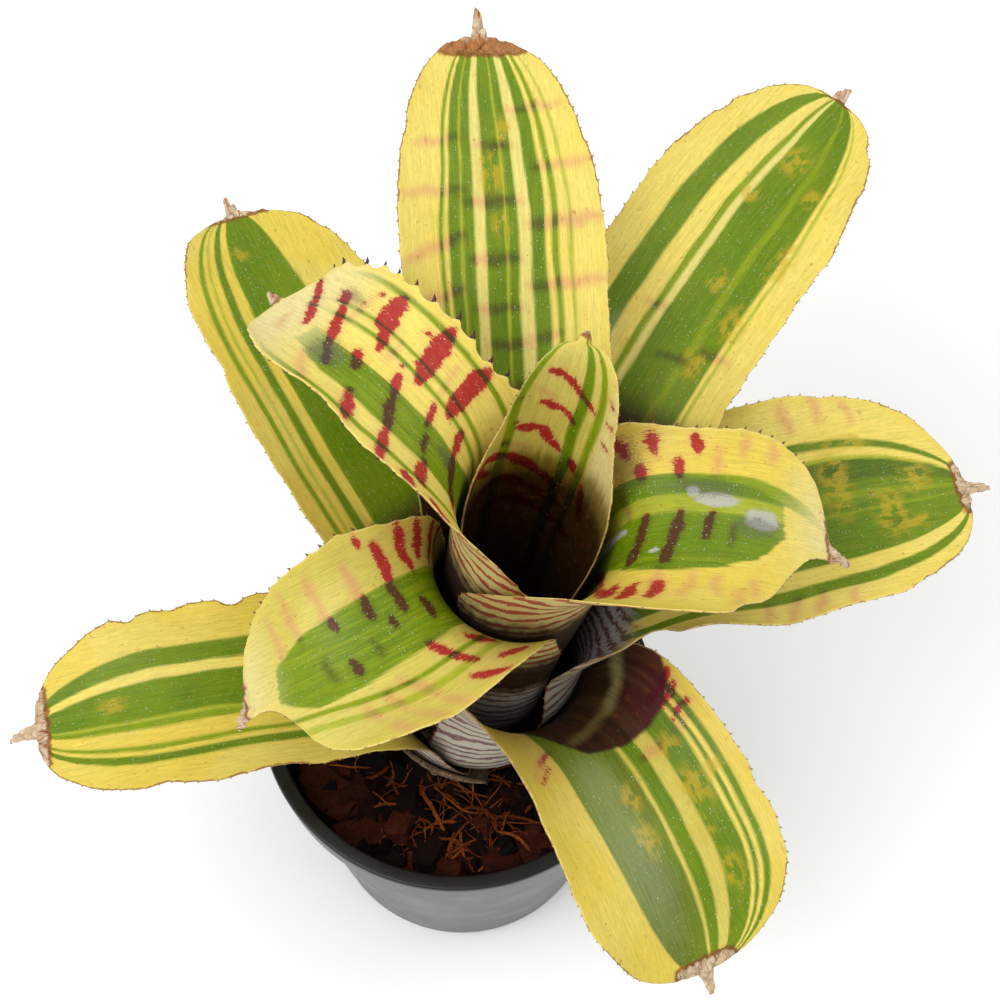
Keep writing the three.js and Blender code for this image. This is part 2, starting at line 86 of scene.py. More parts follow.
LEAF_VALUES = {
    "leaf_young": (
        0, 80, 137, 92, 60, 80, 60, 0, 29, 0, 15, 150, 34, 0.9, 0.8, 3, 30, 0, 0, 0, 0,
    ),
    "leaf_inner_left": (
        1.2, 155, 172, 92, 32, 36, -34, 0, 41, -22, 32, 125, 36, 0.88, 0.84, 4, -60, 12, 16, 5, 0,
    ),
    "leaf_inner_right": (
        2.35, -6, 152, 88, 28, 10, -24, 0, 52, 9, 36, 125, 37, 0.88, 0.8, 9, 50, 14, 8, -11.5, 0,
    ),
    "leaf_middle_left": (
        3.35, 225, 148, 72, 28, 5, -58, 0, 58, -37, 38, 115, 30, 0.76, 0.64, 8, 60, 10, 18, 0, 0,
    ),
    "leaf_back": (
        4.2, 101, 195, 63, 50, 43, 12, 0, 53, -3, 60, 115, 23, 0.88, 0.7, 8, 10, 0, 0, 0, 0,
    ),
    "leaf_front": (
        7.35, -55, 128.5, 30, 46, 11, -30, 0.014, 60, -8, 50, 76, 20, 0.56, 0.76, 7, 40, 8, 0, -10, 0,
    ),
    "leaf_lower_left": (
        8.2, 196.5, 128, 21, 30, 12, -18, 0, 50, -6, 60, 75, 34, 0.88, 0.72, 9, 60, 0, 0, 0, 0,
    ),
    "leaf_back_right": (
        5.2, 62.5, 206, 41, 50, 35, 2, 0, 53, -9, 60, 65, 13, 0.74, 0.72, 8, 40, 0, 0, 0, 0,
    ),
    "leaf_back_left": (
        7.2, 140, 163, 35, 50, 32, -6, 0, 51, -25.5, 60, 80, 26, 0.8, 0.74, 7, 40, 0, 0, 0, 0,
    ),
    "leaf_lower_right": (
        6.45, 17.5, 160, 39, 49, 21, 2, 0, 65, -5, 60, 75, 21, 0.6, 0.68, 8, 40, 8, 0, -10, 0.018,
    ),
    "dry_sheath": (
        9.2, 246, 23, 14, 8, 60, 50, 0, 30, 0, 40, 40, 24, 0.9, 0.7, 2, 0, 0, 0, 0, 0,
    ),
}

LEAVES = {name: dict(zip(LEAF_FIELDS, values)) for name, values in LEAF_VALUES.items()}
INNER_LAYERS = 4  # leaves in a lower layer than this line the tank

LIGHT_GAIN = 1.36  # how bright a white surface that faces up comes out under the lamps


def is_inner(name):
    return LEAVES[name]["layer"] < INNER_LAYERS


def tone(red, green, blue):
    """A screen colour in 0..255 as the linear colour of a surface under the studio light."""
    def linear(v):
        v /= 255
        return v / 12.92 if v <= 0.04045 else ((v + 0.055) / 1.055) ** 2.4

    return tuple(min(linear(v) / LIGHT_GAIN, 0.9) for v in (red, green, blue))


TONES = {
    "gold": tone(243, 216, 88),
    "lemon": tone(252, 228, 108),
    "pale": tone(242, 228, 130),
    "straw": tone(222, 206, 94),
    "cream": tone(246, 232, 158),
    "lime": tone(184, 190, 44),
    "leafy": tone(142, 164, 8),
    "green": tone(108, 140, 0),
    "deep": tone(84, 114, 0),
    "moss": tone(110, 128, 30),
    "amber": tone(214, 180, 40),
}

# What each leaf carries. Stripes are (from, to, tone) in mm across at its widest place, and
# converge with its outline. A zone is a list of (s, from, to) in mm. Bars and soft bands are
# strokes (s, w, s, w, thickness). Spots of amber, grey scale and soot are (s, w, size along,
# size across). A stain_and_shade is the dark foot of the blade, partly its own maroon colour and
# partly painted shade of the tank: (s where it ends, strength, length of its fading). A throat is
# the same painted shade and colour with its own end (w, s) across the leaf, and a glow is a stroke
# of painted light on it. cream_side is (side, w) from which the tissue is pale.
# zone_streaks are stripes inside the zone, zone_end is where it stops, and scurf are strokes of
# grey scale. sheen_spots are spots of painted sheen. sheath_bands is a part (s, s, w, w) with
# purple bands.
# cream, tip_tint and dry are about where the pale, pinkish or withered tissue begins. The
# withered tip is rusty up to rusty_to and reaches dry_across from the midline. brown_margin is
# where the brown line of the margin widens, and rim is its width elsewhere.
PATTERNS = {
    "leaf_young": {
        "ground": "straw",
        "stripes": [(-10.2, -8, "leafy"), (-5.6, -2.6, "green"), (11.6, 15, "leafy")],
        "bars": [
            (108, 10, 107, 4, 3), (107, 4, 103, 1.4, 3.2), (103, 1.4, 99.5, -1.5, 2.4),
            (117.5, 6, 115, 0, 2), (115, 0, 111.5, -3.2, 1.6), (128.7, 6, 128, 2.6, 2),
            (128, 2.6, 121, -4, 1.8), (121, -4, 118, -7, 1.4), (97.5, -5.4, 93.5, -7.2, 2.2),
            (91, -10.4, 79, -13, 2), (100, 18, 97.5, 11.5, 3), (97.5, 11.5, 89, 1.5, 3.2),
            (89, 1.5, 84, -4, 2.4), (88, 11, 82, 3, 3), (82, 3, 78, -6, 2.6), (78, 9, 73, -2, 2.8),
            (73, -2, 69, -12, 2.6), (103, 13.4, 103, 13.2, 1.6), (110.6, 11, 110.6, 10.8, 1.8),
            (120, 12, 120, 11.8, 1.4), (96, 20, 92, 15, 2.4), (118, -11.4, 117, -13, 1),
            (100, 18, 93, 24, 3), (93, 24, 84, 27, 2.6), (88, 11, 84, 18, 2.6), (84, 18, 76, 22, 2.4),
            (78, 9, 74, 15, 2.2),
            (125, -10, 124, -11.6, 0.9), (111, -12, 110, -13.6, 0.9),
        ],
        "bands": [(123, 8, 118, 2, 1.6), (104, 14, 99, 6, 2)],
        "cream_side": (-1, 10.6),
        "stain_and_shade": (101, 1.0, 42),
        "dry": 139,
        "rim": 0.2,
    },
    "leaf_inner_left": {
        "ground": "lemon",
        "stripes": [
            (-18, -16.4, "leafy"), (-8.6, -7.4, "leafy"), (-5.4, -4, "leafy"), (18, 19.8, "leafy"),
        ],
        "zone": [
            (60, -7, -3), (80, -5, 2), (90, -4, 6), (100, -1, 10), (110, 1.5, 11.5),
            (130, 1.5, 12), (145, 2, 12), (158, 1, 8),
        ],
        "zone_end": 157,
        "bars": [
            (103, 12.5, 106, 8, 4), (106, 8, 109.5, 1, 3.4), (109.5, 1, 112, -4, 2.8),
            (116.5, 18.5, 117, 10.5, 3), (117.5, 9, 119.5, 5, 1.4), (120.6, 2.5, 122, -2.5, 2),
            (126, 22, 127, 13.5, 2.6), (127, 13.5, 131, 4, 2.4), (131, 4, 132.6, -1.5, 2.8),
            (134.4, 20, 138, 11, 2.4), (141, 5, 143.2, 0.6, 2.6), (146, 9, 150, 4, 1.8),
            (150, 4, 155.5, -7.5, 2.8), (155.5, -7.5, 157.5, -10, 3), (159.4, 2, 167.5, -10, 2.4),
            (119, 24, 120, 20, 3), (111, 26, 113.5, 21.5, 2.4), (118, -4.5, 118.6, -17.6, 5),
            (129, -4.5, 131, -17.6, 5.2), (140.5, -3.5, 142.5, -8, 3), (142.5, -8, 145, -11.5, 5.4),
            (144.5, -11.5, 144, -16.4, 4.2), (149, -14, 149, -14.2, 1.8),
            (134.4, -14, 134.4, -14.3, 1.4), (133.7, -4, 133.9, -4, 1.3), (104, -18, 105, -18, 1.6),
            (100.6, -13.6, 100.6, -13.9, 1.2), (90, 33, 92, 27, 1), (94, 33.5, 95.5, 28, 1),
            (98, 34, 98.5, 29, 1), (102, 33, 102.4, 28, 1),
        ],
        "bands": [
            (145, 19, 152, 10, 2), (137, -2, 138, -8, 1.6), (152, -3, 150, -12, 1.6),
            (123, -6, 124, -14, 1.4), (163, 8, 166, 2, 1.6),
        ],
        "soot": [(148, 6, 7, 6), (155, -10, 6, 3.4), (112, 4, 6, 3)],
        "cream": 158,
        "stain_and_shade": (74, 0.8, 34),
        "dry": 173,
        "rim": 0.15,
    },
    "leaf_inner_right": {
        "ground": "gold",
        "stripes": [(10, 14.4, "leafy")],
        "zone": [
            (50, 2, 14), (70, -1, 14), (90, -6, 14.4), (100, -11, 14.4), (110, -13, 14.4),
            (120, -11.5, 14.4), (130, -7, 13), (138, 0, 9),
        ],
        "zone_end": 138,
        "zone_streaks": [(4.8, 9.4, "lime"), (-9.4, -8.2, "leafy")],
        "bars": [
            (106.3, 24.5, 107.3, 19.3, 2), (101.5, 25, 102, 19.6, 1.8), (111.5, 17.5, 111.8, 13.5, 2.6),
            (103.7, 17, 104, 13.5, 2.2), (115, 23.5, 115.4, 20, 3), (103.8, 4, 101.9, -3.5, 2.4),
            (101.9, -3.5, 100.6, -8.5, 3), (112.3, 4.6, 110, -4.7, 2.6), (110, -4.7, 108.7, -9.7, 2.8),
            (119.7, 4.6, 118, -2.2, 2.2), (104.4, -18, 104, -27, 2.2), (50, 12.5, 66, 7, 2.6),
            (58, 6, 74, 1, 2.8), (74, 1, 86, -6, 3), (86, -6, 97, -17, 2.8), (97, -17, 100, -22, 2),
            (62, -2, 78, -10, 1.6), (90, 22, 86, 14, 2.2), (96, -24, 98, -30, 2), (88, -20, 92, -27, 2),
            (108.6, -17, 107.6, -25.5, 2.2), (100.6, -17, 101.4, -25, 2.2),
        ],
        "bands": [
            (126.6, 24, 126.8, 20, 2.4), (133.5, 23.5, 133.6, 19.5, 2.2), (120.2, 21, 120.6, 15, 2.2),
            (108, -12, 107.6, -21, 2.2), (115, -13.5, 112.5, -23.5, 2), (120, -14, 119, -21, 2),
            (124.4, -18.5, 122.5, -26, 1.8), (125, 1.5, 123.8, -3.5, 2), (98, 12, 99, 5, 2.2),
            (128, -14, 127, -20, 2),
        ],
        "scale": [(121, 8.3, 5.5, 1.9), (115, 10, 1.8, 1.5), (132, 4.2, 4.4, 3), (106.3, -6, 1.5, 0.9)],
        "scurf": [(62, 8, 98, 2, 3), (60, 12, 90, 9, 2)],
        "soot": [(101, 18, 5, 9), (118, 11, 14, 3), (130, 2, 8, 4)],
        "cream": 147,
        "stain_and_shade": (60, 0.85, 30),
        "dry": 151,
        "rim": 0.15,
    },
    "leaf_middle_left": {
        "ground": "straw",
        "stripes": [(11, 12.7, "leafy"), (15.4, 18, "lime")],
        "zone": [
            (40, -22, -6), (50, -20, -4), (60, -16, -1), (70, -14, 1), (85, -13.5, 4.5),
            (100, -13.5, 5.5), (115, -12, 7), (125, -10.5, 7.5), (136, -6, 2),
        ],
        "zone_end": 135,
        "bars": [
            (92.5, 24.6, 96, 19.6, 2.2), (86.3, 22, 89.4, 19, 2.4), (85, 12.7, 88.7, 7.9, 3),
            (93, 16, 97.5, 4.6, 2.2), (52, 8.4, 62.5, 15, 2.2), (69.4, 12.7, 79, 19.4, 2.2),
            (72.5, 5.2, 77.6, 10.4, 2.6), (47.5, -7, 58.7, 1, 2.2), (87.3, -16, 86.8, -24.5, 2),
            (90.6, -13.5, 91.8, -25.5, 2.2), (96.9, -13.5, 97.1, -23, 3), (100.5, -24, 101.2, -26.4, 2),
            (91.4, -1, 92, -6, 2.2), (97.4, -5.4, 97.8, -13, 2.4), (105.6, -7, 106, -13, 2.2),
            (101.3, -3, 101.6, -5.4, 1.8), (114, 4, 115.2, 0, 2), (115.7, -8.5, 116, -11.6, 1.8),
            (83, -15, 82, -25, 1.6), (79, -17, 78, -27, 1.6),
        ],
        "bands": [
            (100, 26.5, 102.5, 21, 2.2), (102.5, 19, 107.5, 9, 2), (104.5, 26.5, 108, 21, 2),
            (109, 19, 111, 11, 2), (110, 27, 112, 22, 2), (113.7, 19, 115.6, 12.7, 2),
            (106.9, -13, 106.9, -22, 3), (117, -12, 117.2, -23, 2.6), (125.4, -10, 125.6, -22, 2.4),
            (131.5, -9, 132, -18, 2), (120, 3, 121, -3, 2), (108, 2, 108.4, -2, 1.8),
        ],
        "cream": 143,
        "stain_and_shade": (64, 0.8, 30),
        "dry": 147,
        "tip_tint": 139,
        "rim": 0.2,
    },
    "leaf_back": {
        "ground": "lemon",
        "stripes": [
            (-18.6, -17.6, "lime"), (-15.4, -13.6, "leafy"), (-12.2, -8.4, "green"),
            (-8.4, -5.2, "pale"), (-5.2, -2.5, "green"), (-2.5, -1.8, "lime"), (-1.8, 3.3, "green"),
            (3.3, 6.1, "pale"), (6.1, 8.9, "green"), (8.9, 9.6, "lime"), (9.6, 12.6, "green"),
            (13.7, 15.1, "leafy"),
        ],
        "bands": [
            (127, 24, 131, 10, 3), (138, 25, 141, 17, 3), (141, 17, 144, 9, 3.4),
            (154, 24, 155, 8, 2.2), (117, 3, 117, -7, 3), (126, 7, 126, -5, 2.2),
            (138, 7, 138, -5, 3.2), (152, 8, 152, -6, 3.2), (118, -7, 119, -14, 2.6),
            (131, -7, 132, -26, 3), (146, -8, 147, -26, 3.6), (166, 4, 166, -5, 2.4),
            (175, -5, 176, -18, 2), (160, -10, 161, -24, 2.4), (112, 16, 116, 10, 2.6),
            (166, 20, 168, 9, 2), (107, 6, 106, -6, 3),
        ],
        "amber": [(159, 1, 5, 3), (146, -1, 3, 2), (170, -3, 3, 2)],
        "stain_and_shade": (102, 0.9, 28),
        "dry": 190.2,
        "rusty_to": 194.6,
        "dry_across": 9.5,
        "rim": 0.4,
        "brown_margin": (150, 192),
    },
    "leaf_back_right": {
        "ground": "lemon",
        "stripes": [
            (-18.2, -17.4, "lime"), (-16, -10, "green"), (-10, -8, "leafy"), (-8, 2, "green"),
            (2, 4, "pale"), (4, 6, "leafy"), (6, 11, "lemon"), (11, 17.6, "green"),
        ],
        "bands": [(116, -2, 117, -10, 2.4), (126, 8, 127, 2, 2), (122, -12, 122, -20, 2.4)],
        "amber": [
            (182, -2, 4, 3), (132, -15, 5, 3), (118, -12, 4, 3), (153, -17, 6, 2.5),
            (166, 2, 3, 2), (140, -5, 3, 2), (174, -12, 3, 2),
        ],
        "sheen_spots": [(110, 11.5, 12, 4)],
        "stain_and_shade": (104, 1.0, 28),
        "dry": 206,
        "rim": 0.4,
        "brown_margin": (160, 204),
    },
    "leaf_lower_right": {
        "ground": "lemon",
        "stripes": [
            (-25.4, -21.4, "green"), (-21.4, -17.2, "lemon"), (-16.4, -3, "green"),
            (-3, -1.8, "leafy"), (-1.8, 1.6, "green"), (1.6, 4, "leafy"), (4, 7.2, "green"),
            (7.2, 13, "deep"), (13, 14.2, "lime"), (14.2, 16.8, "lemon"), (16.8, 19.4, "green"),
        ],
        "bands": [
            (118, 23, 117, 30, 3), (126, 24, 125, 31, 2.6), (134, 22, 133, 28, 2),
            (113, -25, 110, -31, 3), (106, -25, 103, -32, 3), (99, -25, 97, -31, 2.4),
            (121, -26, 119, -31, 2.2),
        ],
        "sheath_bands": (36, 66, -40, -1),
        "amber": [
            (126, 8, 3.4, 10), (138, -4, 4, 6.5), (133, 17, 3.6, 2.2), (147, 5, 4, 4),
            (144, -8, 5, 1.6),
        ],
        "stain_and_shade": (64, 0.9, 20),
        "dry": 157.5,
        "dry_across": 6,
        "rim": 0.4,
        "brown_margin": (140, 160),
    },
    "leaf_front": {
        "ground": "gold",
        "stripes": [
            (-12.6, 3.4, "moss"), (3.4, 4.7, "straw"), (4.7, 8.6, "green"), (8.6, 12.8, "straw"),
            (12.8, 19.8, "green"), (19.8, 21, "lemon"), (21, 22.3, "green"), (22.3, 23.6, "lemon"),
            (23.6, 25.6, "green"),
        ],
        "bars": [
            (67, 27, 67.6, 19, 1.8), (70.6, 27, 71.2, 20.5, 1.4), (64.6, 28.5, 65.4, 18, 2.2),
            (62, -12, 66, -19, 0.9), (67, -16, 71, -22, 0.9),
        ],
        "bands": [(74, 14, 75, 8, 2), (73, 24, 74, 19, 1.6), (62, -14, 70, -24, 2)],
        "amber": [
            (87, 15.5, 4.6, 4), (75, 14, 2.6, 4), (82, -0.4, 3.4, 2.2), (93, -2, 4, 2.6),
            (96, 12, 3, 3), (108, 15, 4, 2.4), (85, 22, 3, 2),
        ],
        "sheen_spots": [(95, -7, 26, 8), (76, -6, 12, 7)],
        "throat": [
            (-30, 46), (-11, 51), (-7.6, 59), (-3, 66.4), (6.6, 69.8), (14.8, 69.6), (21.6, 67.6),
            (27, 64.8), (30, 62),
        ],
        "glow": [(50, 27, 55.5, 17, 3.4), (55.5, 17, 58.6, 7, 3.6), (58.6, 7, 61, -4, 3.4)],
        "stain_and_shade": (0, 0.0, 28),
        "dry": 125.4,
        "dry_across": 7,
        "rim": 0.4,
        "brown_margin": (112, 127),
    },
    "leaf_back_left": {
        "ground": "gold",
        "stripes": [
            (-8, 8, "green"), (-2.2, -1.4, "leafy"), (11.4, 14, "green"), (16.2, 17, "lime"),
            (18.6, 20.4, "leafy"),
        ],
        "amber": [(150, 4, 2, 2)],
        "stain_and_shade": (74, 0.8, 28),
        "dry": 161.5,
        "dry_across": 10,
        "rim": 0.4,
        "brown_margin": (143, 163),
    },
    "leaf_lower_left": {
        "ground": "gold",
        "stripes": [
            (-14.5, -9.5, "green"), (-9.5, -6.5, "lemon"), (-6.5, 3.5, "green"), (3.5, 4.5, "lime"),
            (4.5, 6.5, "leafy"), (11, 12.5, "leafy"), (14, 16.6, "green"),
        ],
        "amber": [(108, -2, 3, 2)],
        "stain_and_shade": (40, 0.8, 28),
        "dry": 125,
        "dry_across": 10,
        "rim": 0.4,
        "brown_margin": (60, 126),
    },
}

# Spines on the margins: distance apart, length and colour, for the left (+w) and right side.
SPINES = {
    "leaf_young": (4.5, 0.7, 4.0, 0.8, "brown"),
    "leaf_inner_left": (4.2, 0.9, 5.3, 1.9, "crimson"),
    "leaf_inner_right": (3.6, 0.9, 3.4, 0.6, "brown"),
    "leaf_middle_left": (3.8, 0.6, 4.2, 0.9, "brown"),
    "leaf_back": (3.2, 0.5, 3.2, 0.6, "tan"),
    "leaf_back_right": (3.4, 0.5, 3.2, 0.5, "tan"),
    "leaf_lower_right": (3.2, 0.5, 3.4, 0.5, "tan"),
    "leaf_front": (3.0, 0.6, 3.0, 0.6, "tan"),
    "leaf_back_left": (3.2, 0.5, 3.6, 0.5, "tan"),
    "leaf_lower_left": (3.2, 0.5, 3.4, 0.5, "tan"),
    "dry_sheath": (4.0, 0.5, 4.0, 0.5, "tan"),
}

# Margins that are eaten or torn in: side, place, depth and spread in mm.
NOTCHES = {
    "leaf_lower_left": [(-1, 74, 1.6, 3), (-1, 88, 1.0, 4), (-1, 101, 1.4, 2.5), (1, 96, 0.8, 3)],
    "leaf_back": [(1, 171, 0.9, 3), (-1, 168, 0.8, 4)],
    "leaf_back_right": [(1, 181, 0.9, 4), (-1, 196, 0.8, 2)],
    "leaf_lower_right": [(1, 128, 0.8, 3), (-1, 140, 0.8, 3)],
    "leaf_front": [(1, 92, 0.9, 2.5), (-1, 100, 0.8, 2)],
    "leaf_back_left": [(1, 120, 0.8, 3), (-1, 150, 0.8, 2)],
}

# Margins that run straighter than the plain outline: half-widths (s, limit) that aren't passed.
TRIMS = {
    ("leaf_inner_right", -1): [
        (112, 60), (122, 26), (131, 19), (136, 12), (141, 6), (146, 3.2), (161, 2),
    ],
    ("leaf_middle_left", 1): [
        (106, 60), (116, 29), (124, 21), (128, 14), (133, 6), (138, 2.4), (156, 1),
    ],
    ("leaf_lower_right", -1): [(60, 60), (66, 27), (70, 22), (74, 25), (78, 32), (84, 60)],
}


# Shape of a leaf ------------------------------------------------------------------------------


def ease(start, end, x):
    t = np.clip((x - start) / (end - start), 0, 1)
    return t * t * (3 - 2 * t)


def blend(a, b, t):
    return a + (b - a) * t


def lean_frame():
    """The directions of the leaning plant axis, as columns: across, back and up."""
    up = np.array([math.tan(LEAN_X * DEGREE), math.tan(LEAN_Y * DEGREE), 1.0])
    up /= np.linalg.norm(up)
    across = np.array([1.0, 0, 0]) - up * up[0]
    across /= np.linalg.norm(across)
    return np.column_stack([across, np.cross(up, across), up])


LEAN = lean_frame()


def lean(points):
    return points @ LEAN.T + np.array(AXIS_FOOT, float)


def slope_at(leaf, s):
    arch = leaf["throat"] + leaf["bend"]
    slope = blend(FLARE_START, WALL_ANGLE, ease(0, FLARE_LENGTH, s))
    slope = slope + (leaf["rise"] - WALL_ANGLE) * ease(leaf["throat"], arch, s)
    turn = ease(leaf["throat"] + 0.6 * leaf["bend"], leaf["length"], s)
    slope = slope + (leaf["droop"] - leaf["rise"]) * turn
    return slope - 0.5 * leaf["hook"] * ease(leaf["length"] - 4, leaf["length"] + leaf["apex"], s)


def midline(leaf, s):
    """Points, slopes and headings of the leaf's midline at the lengths s."""
    step = 0.5
    flare = (np.arange(int(FLARE_LENGTH / step)) + 0.5) * step
    run = np.sum(step * np.cos(slope_at(leaf, flare) * DEGREE))
    start = TANK_RADIUS + LAYER_STEP * leaf["layer"] - run
    count = int(math.ceil((leaf["length"] + leaf["apex"]) / step)) + 1
    stations = np.arange(count) * step
    swing = leaf["swing"] * ease(leaf["throat"], leaf["length"], stations)
    heading = (leaf["azimuth"] + swing) * DEGREE
    slope = slope_at(leaf, stations) * DEGREE
    along = np.stack(
        [np.cos(slope) * np.cos(heading), np.cos(slope) * np.sin(heading), np.sin(slope)], -1
    )
    azimuth = leaf["azimuth"] * DEGREE
    foot = [start * math.cos(azimuth), start * math.sin(azimuth)]
    points = np.zeros((count, 3))
    points[0] = [*foot, BASE_HEIGHT - BASE_DROP * leaf["layer"]]
    points[1:] = points[0] + np.cumsum(along[:-1] * step, axis=0)
    centre = np.stack([np.interp(s, stations, points[:, k]) for k in range(3)], -1)
    return centre, np.interp(s, stations, slope), np.interp(s, stations, heading)


def blade_half_width(leaf, s):
    share = s / leaf["length"]
    throat = leaf["throat"] / leaf["length"]
    neck = blend(leaf["neck"], 1, ease(throat, throat + 0.25, share))
    x = np.clip((share - leaf["shoulder"]) / (1 - leaf["shoulder"]), 0, 1)
    point = APEX_WIDTH / 2
    blade = point + (leaf["width"] / 2 - point) * neck * np.sqrt(np.maximum(1 - x**2.2, 0))
    tip = blend(point, 0.6, (s - leaf["length"]) / leaf["apex"])
    return np.where(s > leaf["length"], tip, blade)


def half_width(leaf, s, radius):
    sheath = np.minimum(leaf["wrap"] * DEGREE * radius, leaf["reach"])
    start = leaf["throat"] - 22 + leaf["gather"]
    opening = ease(start, leaf["throat"] + 0.5 * leaf["bend"] + leaf["gather"], s)
    return blend(sheath, blade_half_width(leaf, s), opening)


def skew_at(leaf, s, side):
    """Extra half-width of one side (1 left, -1 right) round the throat."""
    throat = leaf["throat"]
    bump = ease(throat - 30, throat - 5, s) * (1 - ease(throat + 10, throat + 55, s))
    return bump * max(leaf["skew"] * side, 0)


def wavy(s, w, rng, waves):
    """A smooth uneven surface: a sum of slow waves (length along, length across, height)."""
    total = np.zeros(np.broadcast(s, w).shape)
    for along, across, height in waves:
        for _ in range(3):
            turn = rng.uniform(-0.5, 0.5)
            phase = rng.uniform(0, 2 * math.pi)
            stretch = rng.uniform(0.8, 1.25)
            wave = 2 * math.pi * (s / (along * stretch) + w / (across * stretch) + turn)
            total += height * np.sin(wave + phase) / math.sqrt(3)
            across = -across
    return total


def spine_places(leaf, pitch, rng):
    """Where the spines stand along one margin, from just above the sheath to the tip."""
    places = []
    s = leaf["throat"] - 12 + rng.uniform(0, pitch)
    end = leaf["length"] - 5
    while s < end:
        places.append(s)
        closer = blend(1, 0.62, float(ease(leaf["length"] - 35, leaf["length"], s)))
        s += pitch * closer * rng.uniform(0.75, 1.25)
    return np.array(places)


def rows_of(leaf):
    """Lengths s of the cross-sections: open in the sheath, close in the blade and its tip."""
    length = leaf["length"]
    end = length + leaf["apex"]
    blade = max(leaf["throat"] - 16, 6)
    sheath = np.linspace(0, blade, max(int(blade / 2), 4), endpoint=False)
    middle = np.linspace(blade, length - 8, int((length - 8 - blade) / 0.75), endpoint=False)
    tip = np.linspace(length - 8, end, int((8 + leaf["apex"]) / 0.4))
    return np.concatenate([sheath, middle, tip])


EDGE_COLUMNS = (0.0, 0.12, 0.35, 0.8)  # mm in from the margin
INNER_COLUMNS = 26  # on each side of the midline


class LeafShape:
    """A leaf's two faces as a grid, with what its colours need at every point."""

    def __init__(self, name, seed):
        self.name = name
        self.leaf = leaf = LEAVES[name]
        self.rng = np.random.default_rng(seed)
        self.s_rows = rows_of(leaf)
        self.centre, self.slope, self.heading = midline(leaf, self.s_rows)
        self.radius = np.hypot(self.centre[:, 0], self.centre[:, 1])
        base = half_width(leaf, self.s_rows, self.radius)
        pitch_left, long_left, pitch_right, long_right, self.spine_colour = SPINES[name]
        self.spines = {
            1: (spine_places(leaf, pitch_left, self.rng), long_left),
            -1: (spine_places(leaf, pitch_right, self.rng), long_right),
        }
        self.half = {side: self.margin(base, side) for side in (1, -1)}
        self.grid_across()
        self.grid_points()

    def margin(self, base, side):
        """Half-width on one side, with the margin drawn out to each spine."""
        places, length = self.spines[side]
        s = self.s_rows
        scallop = np.zeros_like(s)
        for place in places:
            scallop += np.exp(-((s - place) / 1.1) ** 2)
        open_part = ease(self.leaf["throat"] - 14, self.leaf["throat"], s)
        slow = wavy(s, np.zeros_like(s), self.rng, [(23, 1e9, 0.22), (9, 1e9, 0.12)])
        tip = np.clip(base / 6, 0, 1)
        base = base + skew_at(self.leaf, s, side)
        if (self.name, side) in TRIMS:
            places, limits = zip(*TRIMS[self.name, side])
            limit = sum(np.interp(s + d, places, limits) for d in (-3, -1.5, 0, 1.5, 3)) / 5
            base = np.minimum(base, limit)
        depth = 0.62 if self.spine_colour == "crimson" else 0.4
        edge = base + open_part * tip * (depth * length * (scallop - 0.45) + slow)
        for notch_side, place, depth, spread in NOTCHES.get(self.name, []):
            if notch_side == side:
                edge = edge - depth * np.exp(-((s - place) / spread) ** 2)
        return np.maximum(edge, 0.4)

    def grid_across(self):
        sides = []
        inner = np.linspace(0, 1, INNER_COLUMNS + 1)[1:]
        for side in (1, -1):
            half = self.half[side][:, None]
            gaps = np.array(EDGE_COLUMNS)[None, :] * np.minimum(half / 4, 1)
            body = inner[None, :-1] * (half - gaps[:, -1:])
            edge = (half - gaps)[:, ::-1]
            sides.append(side * np.concatenate([body, edge], axis=1))
        zero = np.zeros((len(self.s_rows), 1))
        self.w = np.concatenate([sides[1][:, ::-1], zero, sides[0]], axis=1)
        self.s = np.repeat(self.s_rows[:, None], self.w.shape[1], axis=1)
        half = np.where(self.w > 0, self.half[1][:, None], self.half[-1][:, None])
        self.edge = half - np.abs(self.w)
        self.u = self.w / half

    def grid_points(self):
        leaf = self.leaf
        s = self.s_rows
        arch = leaf["throat"] + leaf["bend"]
        opening = ease(leaf["throat"] - 10 + leaf["cup"], arch + leaf["cup"], s)
        folded = ease(leaf["throat"] - 4, leaf["throat"] + 16, s)
        folded = folded * (1 - ease(arch - 15, arch + 20, s))
        curve = blend(1 / self.radius, 1 / leaf["channel"], opening)
        rising = ease(leaf["throat"] - 15, leaf["throat"] + 0.7 * leaf["bend"], s)
        tilt = (math.pi / 2 - self.slope) * rising
        fold = leaf["fold"] + np.where(leaf["skew"] * self.w > 0, leaf["curl"], 0)
        curve = curve[:, None] + fold * folded[:, None]
        tilt = tilt[:, None]
        side = np.sin(curve * self.w) / curve
        lift = (1 - np.cos(curve * self.w)) / curve
        out_x = np.cos(self.heading)[:, None]
        out_y = np.sin(self.heading)[:, None]
        x = self.centre[:, 0:1] - out_y * side - out_x * np.cos(tilt) * lift
        y = self.centre[:, 1:2] + out_x * side - out_y * np.cos(tilt) * lift
        z = self.centre[:, 2:3] + np.sin(tilt) * lift
        middle = lean(np.stack([x, y, z], -1))
        normal = self.normals(middle)
        middle = middle + normal * self.relief()[:, :, None]
        self.middle = middle
        self.normal = self.normals(middle)
        body = blend(SHEATH_THICKNESS, BLADE_THICKNESS, ease(leaf["throat"], arch, self.s))
        thick = blend(body, EDGE_THICKNESS, np.abs(self.u) ** 3)
        thick = thick * blend(1, 0.6, ease(leaf["length"] - 3, leaf["length"] + leaf["apex"], self.s))
        round_edge = np.sqrt(np.clip(self.edge / 0.35, 0, 1))
        half = (thick * round_edge / 2)[:, :, None]
        self.upper = middle + self.normal * half
        self.under = middle - self.normal * half

    def normals(self, points):
        along = np.gradient(points, axis=0)
        across = np.gradient(points, axis=1)
        normal = np.cross(along, across)
        return normal / np.maximum(np.linalg.norm(normal, axis=2, keepdims=True), 1e-9)

